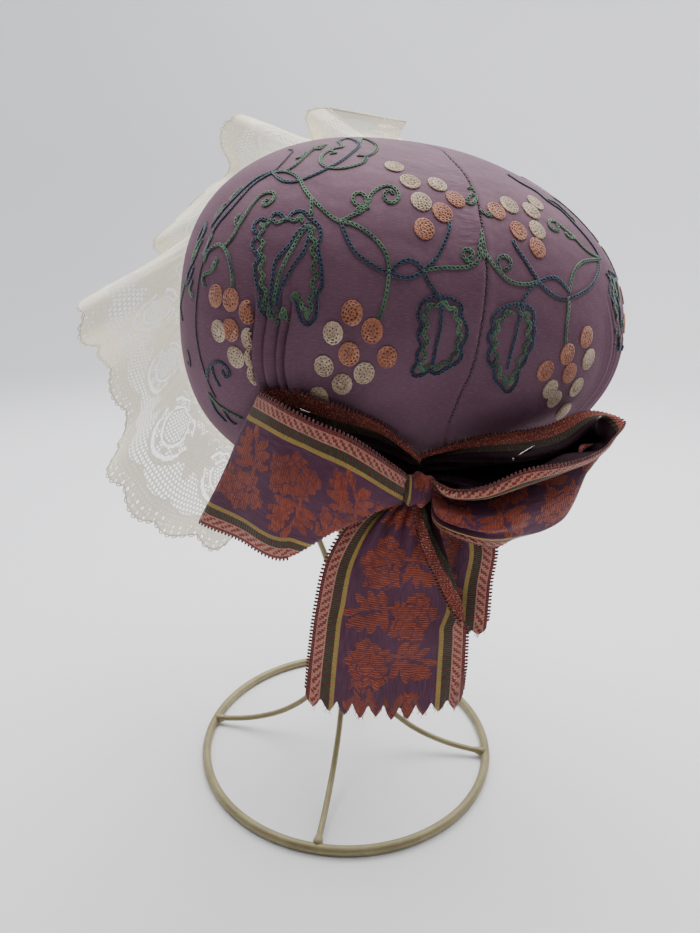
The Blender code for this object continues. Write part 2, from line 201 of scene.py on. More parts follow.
def tube_mesh(path, radius, sides, closed=False):
    """Points and faces of a round strand along a path; the radius may vary along it."""
    path = np.asarray(path, float)
    count = len(path)
    radius = np.broadcast_to(np.asarray(radius, float), (count,))
    if closed:
        along = unit(np.roll(path, -1, axis=0) - np.roll(path, 1, axis=0))
    else:
        along = unit(np.gradient(path, axis=0))
    side = np.cross(along[0], (0.31, 0.17, 0.94))
    points, faces = [], []
    for index in range(count):
        side = unit(side - along[index] * np.dot(side, along[index]))
        up = np.cross(along[index], side)
        for corner in range(sides):
            angle = 2 * math.pi * corner / sides
            points.append(path[index] + radius[index] * (side * math.cos(angle)
                                                         + up * math.sin(angle)))
    for index in range(count if closed else count - 1):
        faces += ring_faces(index * sides, (index + 1) % count * sides, sides)
    if not closed:
        faces.append(tuple(reversed(range(sides))))
        faces.append(tuple((count - 1) * sides + corner for corner in range(sides)))
    return np.array(points), faces


class Batch:
    """Collects many small meshes into one."""

    def __init__(self):
        self.points, self.faces, self.colours, self.count = [], [], [], 0

    def add(self, points, faces, colour=None):
        self.faces += [tuple(index + self.count for index in face) for face in faces]
        self.points.append(points)
        self.count += len(points)
        if colour is not None:
            self.colours.append(np.broadcast_to(np.array(colour), (len(points), 3)))

    def build(self, name, material, slot):
        colour = np.concatenate(self.colours) if self.colours else None
        return new_piece(name, np.concatenate(self.points), self.faces, material,
                         colour=colour)


# Materials

class Value:
    """A node's output. Arithmetic on it adds Math nodes; a mask is 0 or 1, and | joins masks."""

    def __init__(self, look, socket):
        self.look, self.socket = look, socket

    def __rsub__(self, other):
        return self.look.math("SUBTRACT", other, self)

    def steps(self, low, high):
        """0 below low, 1 above high, smooth between."""
        inputs = {"Value": self, "From Min": low, "From Max": high}
        return self.look.node("MapRange", "Result", inputs, interpolation_type="SMOOTHSTEP")

    def band(self, low, high):
        return (self > low) * (self < high)

    def wave(self, length):
        """A sine with the given wavelength."""
        return (self * (2 * math.pi / length)).sine()


OPERATIONS = {
    "__add__": "ADD",
    "__sub__": "SUBTRACT",
    "__mul__": "MULTIPLY",
    "__truediv__": "DIVIDE",
    "__mod__": "FLOORED_MODULO",
    "__gt__": "GREATER_THAN",
    "__lt__": "LESS_THAN",
    "__or__": "MAXIMUM",
    "__and__": "MINIMUM",
    "__abs__": "ABSOLUTE",
    "floor": "FLOOR",
    "sine": "SINE",
    "cosine": "COSINE",
}
for python_name, node_name in OPERATIONS.items():
    setattr(Value, python_name, lambda self, *others, operation=node_name:
            self.look.math(operation, self, *others))


class Look:
    """A material whose nodes are made by short calls."""

    def __init__(self, name, roughness):
        self.material = bpy.data.materials.new(name)
        self.material.use_nodes = True
        self.tree = self.material.node_tree
        self.shader = self.tree.nodes["Principled BSDF"]
        self.feed(self.shader.inputs["Roughness"], roughness)

    def feed(self, socket, value):
        if isinstance(value, Value):
            self.tree.links.new(value.socket, socket)
        elif socket.type == "RGBA":
            socket.default_value = (*value, 1.0)
        else:
            socket.default_value = value

    def node(self, kind, output, inputs, **settings):
        made = self.tree.nodes.new("ShaderNode" + kind)
        for name, value in settings.items():
            setattr(made, name, value)
        for name, value in inputs.items():
            self.feed(made.inputs[name], value)
        return Value(self, made.outputs[output])

    def math(self, operation, *values):
        return self.node("Math", 0, dict(enumerate(values)), operation=operation)

    def vector(self, operation, *values):
        output = "Value" if operation == "LENGTH" else "Vector"
        return self.node("VectorMath", output, dict(enumerate(values)), operation=operation)

    def mix(self, share, first, second):
        # 6 and 7 are the node's two colours, and 2 is its colour output
        return self.node("Mix", 2, {0: share, 6: first, 7: second}, data_type="RGBA")

    def noise(self, vector, scale=1.0, detail=2.0, roughness=0.5):
        inputs = {"Vector": vector, "Scale": scale, "Detail": detail, "Roughness": roughness}
        return self.node("TexNoise", "Fac", inputs)

    def cloth(self):
        """Place on the cloth in millimetres, from the piece's own map."""
        self.uv = self.node("UVMap", "UV", {}, uv_map="cloth")
        return self.split(self.uv)[:2]

    def grain(self, x, y, detail=2.0, roughness=0.5):
        """Noise on the cloth, with x and y its steps per millimetre."""
        return self.noise(self.vector("MULTIPLY", self.uv, (x, y, 1.0)), 1.0, detail, roughness)

    def place(self):
        return self.node("TexCoord", "Object", {})

    def split(self, vector):
        sockets = self.node("SeparateXYZ", "X", {0: vector}).socket.node.outputs
        return [Value(self, socket) for socket in sockets]

    def join(self, x, y):
        return self.node("CombineXYZ", 0, {0: x, 1: y})

    def angle(self, vector):
        x, y, _ = self.split(vector)
        return self.math("ARCTAN2", y, x)

    def bump(self, height, distance, strength, before=None):
        """A normal from heights; distance is in millimetres."""
        inputs = {"Distance": distance * MM, "Strength": strength, "Height": height}
        if before is not None:
            inputs["Normal"] = before
        return self.node("Bump", "Normal", inputs)

    def finish(self, colour, normal=None, **settings):
        """Feeds the shader and gives the material; _ in a setting's name stands for a space."""
        self.feed(self.shader.inputs["Base Color"], colour)
        if normal is not None:
            self.feed(self.shader.inputs["Normal"], normal)
        for name, value in settings.items():
            self.feed(self.shader.inputs[name.replace("_", " ")], value)
        return self.material


def silk_look():
    look = Look("silk", 0.7)
    across, _ = look.cloth()
    weft, warp = look.grain(0.35, 2.6, 2.0, 0.6), look.grain(2.6, 0.3, 2.0, 0.6)
    broad = look.grain(0.03, 0.03, 3.0).steps(0.3, 0.7)
    colour = look.mix(broad, srgb(102, 72, 88), srgb(113, 82, 98))
    colour = look.mix(weft.steps(0.45, 0.75) * 0.42, colour, srgb(146, 106, 120))
    colour = look.mix(warp.steps(0.5, 0.75) * 0.25, colour, srgb(84, 60, 76))
    threads = weft * 0.6 + warp * 0.4 + look.grain(2.2, 2.2, 1.0, 0.7) * 0.35
    normal = look.bump(threads, 0.12, 0.5)
    near_seam = 1.0 - abs(across).steps(1.5, 11.0)
    normal = look.bump(look.grain(0.12, 0.42, 1.0) * near_seam, 0.7, 0.5, normal)
    normal = look.bump(look.grain(0.045, 0.06, 2.0, 0.55), 2.2, 0.5, normal)
    return look.finish(colour, normal, Sheen_Weight=0.05, Sheen_Roughness=0.45,
                       Sheen_Tint=srgb(205, 180, 195), Specular_IOR_Level=0.16)


def lining_look():
    """Plain cloth of the cap's inside."""
    look = Look("inside_cloth", 0.85)
    look.cloth()
    weave = look.grain(1.4, 1.4, 3.0, 0.7)
    colour = look.mix(weave.steps(0.3, 0.7), srgb(96, 78, 84), srgb(122, 100, 104))
    return look.finish(colour, look.bump(weave, 0.3, 0.6))


def thread_look():
    """Twisted wool and silk thread, coloured stitch by stitch."""
    look = Look("embroidery_thread", 0.8)
    own = look.node("VertexColor", "Color", {}, layer_name="thread")
    fibre = look.noise(look.place(), 2600.0, 2.0, 0.7)
    colour = look.mix(fibre.steps(0.35, 0.75) * 0.35, own, srgb(40, 38, 40))
    return look.finish(colour, look.bump(fibre, 0.15, 0.7), Sheen_Weight=0.4,
                       Specular_IOR_Level=0.3)


def stand_look():
    look = Look("gold_paint", 0.42)
    place = look.place()
    cloud, speck = look.noise(place, 55.0, 4.0, 0.6), look.noise(place, 900.0, 2.0, 0.6)
    colour = look.mix(cloud.steps(0.3, 0.7), srgb(128, 118, 84), srgb(149, 139, 102))
    colour = look.mix(speck.steps(0.62, 0.75) * 0.3, colour, srgb(112, 100, 66))
    return look.finish(colour, look.bump(speck, 0.05, 0.4), Roughness=cloud * 0.2 + 0.34,
                       Metallic=0.25)


def plain_look(name, roughness, scale, first, second, **settings):
    """Two colours that drift over the surface."""
    look = Look(name, roughness)
    return look.finish(look.mix(look.noise(look.place(), scale), first, second), **settings)


# Ribbon pattern: stripes along both edges and sprays of flowers between, in millimetres

RIBBON_WIDTH = 72.0
SPRAY_STEP = 23.5
THREAD_STEP = 1.05
# Where the stripes end, counted from the ribbon's edge
SELVEDGE_END = 1.6
PINK_END = 6.4
GREEN_MIDDLE = 8.4
GREEN_END = 10.6
GOLD_END = 12.7
FERN = (
    # middle x, middle y, half length, half width, angle in degrees
    (-4.5, -3.6, 6.0, 0.8, -8.0),
    (-13.5, -2.0, 5.0, 0.8, -20.0),
    (-3.8, 2.2, 5.2, 2.0, 75.0),
    (-8.3, 3.8, 5.6, 2.3, 98.0),
    (-13.0, 4.6, 5.0, 2.2, 116.0),
    (-17.4, 4.6, 4.2, 2.1, 138.0),
    (-6.4, -7.4, 4.2, 2.0, 70.0),
    (-11.0, -6.6, 4.6, 2.1, 58.0),
    (-15.6, -5.0, 4.2, 2.0, 42.0),
    (-20.0, 0.8, 3.6, 1.8, 160.0),
)


def ribbon_figure(look, place, cracks):
    """1 inside a flower or its fern, 0 on the ground between."""
    centred = look.vector("SUBTRACT", place, (9.0, 0.8, 0.0))
    angle = look.angle(centred)
    reach = look.vector("LENGTH", look.vector("MULTIPLY", centred, (1.0, 0.84, 1.0)))
    lobes = (angle * 5.0 + 0.6).cosine() * 1.3
    jags = (angle * 13.0).cosine() * 0.8
    figure = (reach < lobes + jags + 10.0) * cracks
    for x, y, long, wide, lean in FERN:
        inputs = {"Vector": place, "Location": (x, y, 0.0), "Scale": (long, wide, 1.0),
                  "Rotation": (0.0, 0.0, math.radians(lean))}
        leaf = look.node("Mapping", "Vector", inputs, vector_type="TEXTURE")
        figure = figure | (look.vector("LENGTH", leaf) < 1.0)
    return figure


def ribbon_look(name, shift=0.0, flip=1.0, reverse=False):
    """Brocade: shift moves the sprays along the ribbon, flip swaps their sides."""
    look = Look(name, 0.66)
    across, along = look.cloth()
    from_edge = across & (RIBBON_WIDTH - across)
    row = (along / THREAD_STEP).floor()
    row_noise = look.noise(look.join(across * 0.35, row * 3.7), 1.0, 2.0, 0.6)
    fibre = look.grain(0.5, 3.0, 2.0, 0.6)
    wale = along.wave(THREAD_STEP)

    # Sprays repeat along the ribbon, and every second one is turned over
    shifted = (along + shift) / SPRAY_STEP
    number = shifted.floor()
    side = number % 2.0 * 2.0 - 1.0
    x = (across - 0.5 * RIBBON_WIDTH) * side * flip + (row_noise - 0.5) * 4.6
    y = (shifted - number - 0.5) * SPRAY_STEP
    inside = (from_edge > GOLD_END + 0.1) * (wale < 0.94)
    stretched = look.vector("MULTIPLY", look.uv, (0.17, 0.22, 1.0))
    cells = look.node("TexVoronoi", "Distance", {"Vector": stretched, "Scale": 1.0},
                      feature="DISTANCE_TO_EDGE")
    figure = ribbon_figure(look, look.join(x, y), cells > 0.03) * inside

    warp = look.grain(2.4, 0.12, 1.0, 0.6)
    purple = look.mix(warp.steps(0.35, 0.7), srgb(78, 38, 60), srgb(99, 57, 83))
    purple = look.mix(fibre.steps(0.5, 0.8) * 0.45, purple, srgb(102, 50, 60))
    rust = look.mix(row_noise.steps(0.3, 0.7), srgb(138, 54, 40), srgb(178, 86, 56))
    rust = look.mix(fibre.steps(0.4, 0.7) * 0.4, rust, srgb(104, 42, 42))
    colour = look.mix(figure, purple, rust)

    gold = look.mix(fibre.steps(0.3, 0.7), srgb(146, 118, 58), srgb(180, 152, 82))
    colour = look.mix(from_edge.band(GREEN_END, GOLD_END), colour, gold)

    frayed = along + row_noise * 1.2
    checker = abs((frayed / 1.75).floor() % 2.0 - (from_edge > GREEN_MIDDLE))
    green = look.mix(checker, srgb(58, 72, 46), srgb(94, 46, 40))
    green = look.mix(fibre.steps(0.5, 0.75) * 0.5, green, srgb(40, 42, 34))
    colour = look.mix(from_edge.band(PINK_END, GREEN_END), colour, green)

    slant = (frayed * 1.75 + from_edge * 1.6).sine()
    cross = (frayed * 3.5 - from_edge * 2.4).sine()
    figured = (slant + cross * 0.7 + (fibre - 0.5) * 3.6 > 0.1) * from_edge.band(2.1, 5.8)
    pink = look.mix(figured, srgb(190, 136, 118), srgb(142, 56, 50))
    colour = look.mix(from_edge.band(SELVEDGE_END, PINK_END), colour, pink)
    dark_red = look.mix(fibre.steps(0.3, 0.7), srgb(104, 40, 40), srgb(138, 66, 60))
    colour = look.mix(from_edge < SELVEDGE_END, colour, dark_red)
    if reverse:
        # The back shows dark ground (its own tone, deepened by painted shade for the loops'
        # insides), red floats and specks of the light threads
        speck = look.grain(1.1, 2.2, 1.0, 0.8)
        ground = look.mix(fibre.steps(0.3, 0.75), srgb(20, 6, 14), srgb(44, 14, 24))
        edge = look.mix(speck.steps(0.58, 0.66), srgb(130, 58, 52), srgb(206, 168, 136))
        strip = look.mix(speck.steps(0.6, 0.68), srgb(56, 52, 42), srgb(120, 92, 66))
        colour = look.mix(from_edge < GREEN_END, ground, strip)
        colour = look.mix(from_edge < PINK_END, colour, edge)
    worn = look.grain(0.06, 0.06).steps(0.35, 0.7) * 0.22
    colour = look.mix(worn, colour, srgb(60, 36, 48))

    raised = figure * (wale * 0.4 + 1.0) + (from_edge < GREEN_END) * (wale * 0.3)
    return look.finish(colour, look.bump(raised + fibre * 0.6, 0.4, 0.9),
                       Sheen_Weight=0.04 if reverse else 0.2, Sheen_Roughness=0.4,
                       Specular_IOR_Level=0.12 if reverse else 0.25)


# Lace pattern, in millimetres: medallions and flowers in a net, with a solid wavy border

LACE_WIDTH = 72.0
LACE_REPEAT = 50.0
NET_CELL = 2.2
MEDALLION_LINE = 38.0
FLOWER_LINE = 36.0
SCALLOP_STEP = 25.0
SCALLOP_DEPTH = 3.2
PICOT_STEP = 4.2


def net_mask(look):
    """The threads of a hexagonal net."""
    cell = look.vector("MULTIPLY", look.uv, (1.0 / NET_CELL, 1.0 / NET_CELL, 0.0))
    half = 0.5 * math.sqrt(3.0)

    def hexagon(shift):
        moved = look.vector("ADD", cell, shift)
        wrapped = look.vector("WRAP", moved, (0.5, half, 0.5), (-0.5, -half, -0.5))
        x, y, _ = look.split(look.vector("ABSOLUTE", wrapped))
        return x | (x * 0.5 + y * half)

    return hexagon((0.0, 0.0, 0.0)) & hexagon((0.5, half, 0.0)) > 0.3


def lace_look():
    look = Look("lace", 0.85)
    along, across = look.cloth()
    x = along % LACE_REPEAT - 0.5 * LACE_REPEAT
    wobble = (look.grain(0.35, 0.35) - 0.5) * 1.6

    def round_figure(centre_x, centre_y, petals):
        """Distance from a figure's middle, and a wave that goes round it once a petal."""
        there = look.join(x - centre_x, across - centre_y)
        return (look.vector("LENGTH", there) + wobble,
                (look.angle(there) * float(petals)).cosine())

    # Medallions
    reach, spokes = round_figure(0.0, MEDALLION_LINE, 10)
    solid = reach.band(8.6, 9.5) | (reach.band(11.0, 14.6) * (spokes > 0.1))
    solid = solid | reach.band(16.5, 18.5)
    open_ring = reach.band(9.5, 11.0) | reach.band(14.6, 16.5)
    cords = reach.band(9.0, 9.6)

    # Flowers between them, one half on each side of the repeat
    for centre in (-0.5 * LACE_REPEAT, 0.5 * LACE_REPEAT):
        reach, petals = round_figure(centre, FLOWER_LINE, 8)
        solid = solid | (reach < petals * 2.6 + 12.5)
        cords = cords | reach.band(4.2, 5.0)

    # Wavy border and picots
    scallop = abs((along * (math.pi / SCALLOP_STEP)).sine()) * SCALLOP_DEPTH
    from_tip = scallop + (LACE_WIDTH - SCALLOP_DEPTH) - across + wobble
    picots = along.wave(PICOT_STEP)
    border = from_tip.band(1.8, 8.6) * (1.0 - (picots > 0.35) * from_tip.band(2.6, 4.0))
    solid = solid | border | ((from_tip < 1.8) * (picots < 0.45))
    cords = cords | from_tip.band(8.2, 9.0)

    # A heading at the gathered edge, and leaves above the medallions
    solid = solid | (across < 5.0) | across.band(8.0, 9.2)
    cords = cords | across.band(4.4, 5.2)
    trail = along.wave(SCALLOP_STEP) * 3.0
    gaps = along.wave(8.3) * across.wave(9.5) > 0.55
    solid = solid | ((across + (trail + wobble)).band(5.0, 23.0) * (1.0 - gaps))

    bars = (along * 4.2).sine() > 0.8
    clear = open_ring * (1.0 - (solid | cords)) * (1.0 - bars)
    pores = (along * 9.0).sine() * (across * 9.0).sine()
    opaque = (solid * (pores > -0.62) * 0.97) | (net_mask(look) * (1.0 - clear) * 0.9) | cords

    fibre, age = look.grain(1.5, 1.5, 2.0, 0.6), look.grain(0.03, 0.03, 3.0)
    colour = look.mix(fibre.steps(0.3, 0.7), srgb(244, 233, 204), srgb(252, 244, 220))
    colour = look.mix(age.steps(0.45, 0.75) * 0.5, colour, srgb(238, 222, 184))
    colour = look.mix(cords, colour, srgb(253, 247, 230))
    height = solid * 0.5 + cords + pores * 0.12
    # A little light of its own stands for the light that comes through the thin cloth
    return look.finish(colour, look.bump(height, 0.4, 0.7), Alpha=opaque,
                       Emission_Color=(1.0, 0.93, 0.78), Emission_Strength=0.32)


# Cap form

def form_radius(directions):
    """Distance from the cap's centre to its outer face, along each direction."""
    local = directions @ FORM_TURN
    depth = np.where(local[..., 1] < 0, BACK_DEPTH, FACE_DEPTH)
    height = np.where(local[..., 2] > 0, RISE, DROP)
    total = (np.abs(local[..., 0] / HALF_WIDTH) ** SQUARENESS
             + np.abs(local[..., 1] / depth) ** SQUARENESS
             + np.abs(local[..., 2] / height) ** SQUARENESS)
    return total ** (-1.0 / SQUARENESS)


def cap_points(longitude, polar, offset=0.0):
    side, down = np.radians(longitude), np.radians(polar)
    local = np.stack([np.sin(down) * np.sin(side), -np.sin(down) * np.cos(side),
                      np.cos(down) + 0.0 * side], axis=-1)
    directions = local @ POLE_TURN.T
    return CAP_CENTRE + directions * (form_radius(directions) + offset)[..., None]


def lowest_polar(longitude):
    return NAPE_EDGE - (NAPE_EDGE - EAR_EDGE) * (longitude / FACE_EDGE) ** 2


def edge_longitude(polar):
    return FACE_EDGE - EAR_CURVE * smoothstep(polar, 95.0, 140.0)


def drifted_longitude(column, polar):
    near = smoothstep(np.abs(column), 20.0, 45.0) * (1 - smoothstep(np.abs(column), 62.0, 96.0))
    drift = PLEAT_DRIFT * smoothstep(polar, 88.0, 114.0) * near
    return column * edge_longitude(polar) / FACE_EDGE + np.sign(column) * drift


# Crown

CROWN_ROWS = 130
DENT_DEPTH = 0.8 * MM
DENTS_PER_METRE = 22.0
SEAM_SWAY_END = 42.0
CLOTH_RADIUS = 92.0
CLOTH_PER_DEGREE = 1.62
SEAM_RADIUS = 95.0 * MM
# The wall is thin between these degrees from the seam, where it would poke through the pleats
THIN_WALL = (42.0, 63.0)
THIN_SHARE = 0.12
PLEAT_EDGES = (47.3, 49.5, 52.7, 55.7)
PLEAT_PROFILE = (
    # degrees past the edge, height in mm, shift towards the face in degrees: a sharp edge that
    # hangs over a narrow gap, out of which the next pleat rises
    (0.0, 1.7, 0.35),
    (0.1, 1.0, 0.5),
    (0.15, -0.5, 0.2),
    (0.2, -2.6, -0.3),
    (0.5, -3.8, -0.1),
    (0.9, -2.8, 0.0),
    (1.2, -1.2, 0.0),
    (1.6, -0.2, 0.0),
)
PLEAT_RELIEF = [(44.7, 0.0, 0.0), (46.3, 0.7, 0.1)]
for pleat_edge in PLEAT_EDGES:
    PLEAT_RELIEF += [(round(pleat_edge + row[0], 2), *row[1:]) for row in PLEAT_PROFILE]
PLEAT_RELIEF += [(62.3, 0.0, 0.0)]


def crown_columns():
    seam = [0.0, 0.25, 0.5, 0.8, 1.2, 1.8, 2.6]
    folds = {row[0] for row in PLEAT_RELIEF} | {round(c, 1) for c in np.arange(45.0, 62.0, 0.6)}
    half = seam + list(np.arange(3.6, 43.0, 1.0)) + sorted(folds)
    half += list(np.linspace(62.3, FACE_EDGE, 37)[1:])
    half = np.array(half)
    return np.concatenate([-half[:0:-1], half])


def pleat_relief(column, polar):
    """Height of the pleats and how far they lean towards the face."""
    edges, heights, shifts = np.array(PLEAT_RELIEF).T
    fade = smoothstep(polar, 84.0, 100.0)
    height = np.interp(np.abs(column), edges, heights, left=0.0, right=0.0) * MM
    shift = np.interp(np.abs(column), edges, shifts, left=0.0, right=0.0)
    return height * fade, np.sign(column) * shift * fade


def seam_relief(polar, longitude):
    """The seam lies in a groove, and the silk puffs up a little on both sides of it."""
    from_seam = np.abs(np.radians(longitude)) * SEAM_RADIUS * np.sin(np.radians(polar))
    dip = -0.5 * MM * np.exp(-(from_seam / (0.7 * MM)) ** 2)
    puff = 0.25 * MM * np.exp(-((from_seam - 2.4 * MM) / (1.8 * MM)) ** 2)
    return (dip + puff) * smoothstep(polar, 4.0, 18.0)


def make_crown(material, inside):
    column, row = np.meshgrid(crown_columns(), np.arange(CROWN_ROWS + 1) / CROWN_ROWS)
    polar = lowest_polar(column) * row
    longitude = drifted_longitude(column, polar)
    dents = cap_points(longitude, polar)
    dents = DENT_DEPTH * np.array([[noise.noise(Vector(point * DENTS_PER_METRE))
                                    for point in line] for line in dents])
    form = surface_tree(cap_points(longitude, polar, dents))
    sewn = sorted(cap_place(on_form(form, x, y))[::-1] for x, y in smooth_rows(SEAM_LINE, 4))
    sway = np.interp(polar, *np.array([(0.0, 0.0)] + sewn).T)
    longitude += sway * (1.0 - smoothstep(np.abs(column), 2.0, SEAM_SWAY_END))
    height, shift = pleat_relief(column, polar)
    relief = dents + height + seam_relief(polar, longitude - sway)
    outer = cap_points(longitude + shift, polar, relief)
    reach = CLOTH_RADIUS * np.sin(np.radians(polar))
    uv = np.stack([np.radians(longitude) * reach, polar * CLOTH_PER_DEGREE], axis=-1)
    crown = cloth_piece("cap_shell", outer, uv, material, "crown")
    body = crown.vertex_groups.new(name="body")
    flat = np.flatnonzero((np.abs(column) < THIN_WALL[0]) | (np.abs(column) > THIN_WALL[1]))
    body.add(flat.tolist(), 1.0, "REPLACE")
    join_doubles(crown)
    add_wall(crown, inside, thickness=WALL, offset=-1.0, vertex_group="body",
             thickness_vertex_group=THIN_SHARE, material_offset=1, material_offset_rim=0)
    return form, surface_tree(outer)


class CapFace:
    """The cap's plain form for directions, and its true face for heights."""

    def __init__(self, form, face):
        self.form, self.face = form, face

    def settle(self, point):
        """The true face's point nearest to a point, and the direction out of the cap."""
        near, normal = self.form.find_nearest(Vector(point))[:2]
        up = normal.normalized()
        if up.dot(near - Vector(CAP_CENTRE)) < 0:
            up = -up
        found = self.face.ray_cast(near + up * 5.0 * MM, -up, 10.0 * MM)[0]
        return np.array(found if found is not None else near), np.array(up)


def surface_tree(outer):
    points = [Vector(point) for point in outer.reshape(-1, 3)]
    return BVHTree.FromPolygons(points, grid_faces(*outer.shape[:2]))


def pixel_ray(x, y):
    flat = Vector(((x - 0.5 * PICTURE_SIZE[0]) / FOCAL_PIXELS,
                   -(y - 0.5 * PICTURE_SIZE[1]) / FOCAL_PIXELS, -1.0))
    return (CAMERA_TURN @ flat).normalized()


def on_form(form, x, y):
    """The point of the cap at a pixel of the photo, or on its outline next to the pixel."""
    ray = pixel_ray(x, y)
    found = form.ray_cast(CAMERA_PLACE, ray)[0]
    if found is None:
        found = Vector(CAP_CENTRE)
        for _ in range(6):
            step = CAMERA_PLACE + ray * (found - CAMERA_PLACE).dot(ray)
            found = form.find_nearest(step)[0]
    return found


def cap_place(point):
    """Longitude and polar angle of a point, in degrees."""
    local = (np.array(point) - CAP_CENTRE) @ POLE_TURN
    polar = math.atan2(math.hypot(local[0], local[1]), local[2])
    return math.degrees(math.atan2(local[0], -local[1])), math.degrees(polar)


def beyond_seam(cap, point):
    """The matching point on the cap's other half."""
    local = (np.array(point) - CAP_CENTRE) @ POLE_TURN
    direction = Vector(POLE_TURN @ (local * (-1.0, 1.0, 1.0))).normalized()
    return cap.form.ray_cast(Vector(CAP_CENTRE), direction)[0]


# Embroidery, charted on the photo in its pixels

STITCH_STEP = 1.75 * MM
STITCH_LENGTH = 2.5 * MM
STITCH_WIDTH = 1.65 * MM
THREAD_RADIUS = 0.3 * MM
SEAM_STITCH_STEP = 1.6 * MM
SEAM_THREAD_RADIUS = 0.28 * MM
# How far along a thread its colour stays the same, for its broad drift, patches and fine twist
DRIFT_LENGTH = 11.0 * MM
PATCH_LENGTH = 7.0 * MM
TWIST_LENGTH = 1.1 * MM
LEAF_INSET = 2.3 * MM
INSET_SPREAD = 12
LOBE_DEPTH = 1.1 * MM
LOBE_STEP = 6.2 * MM
FAR_SIDE = 63.0
LAST_PLEAT = 57.2
PLEAT_PIXEL = 262
THREAD_COLOURS = {
    "green": (srgb(52, 86, 58), srgb(88, 126, 92), srgb(36, 66, 62)),
    "navy": (srgb(30, 42, 72), srgb(34, 66, 88), srgb(24, 32, 56)),
    "cream": (srgb(216, 190, 162), srgb(190, 160, 132), srgb(226, 206, 180)),
    "orange": (srgb(192, 124, 94), srgb(170, 102, 74), srgb(208, 150, 120)),
    "dark": (srgb(44, 34, 48), srgb(36, 40, 52), srgb(50, 38, 50)),
}

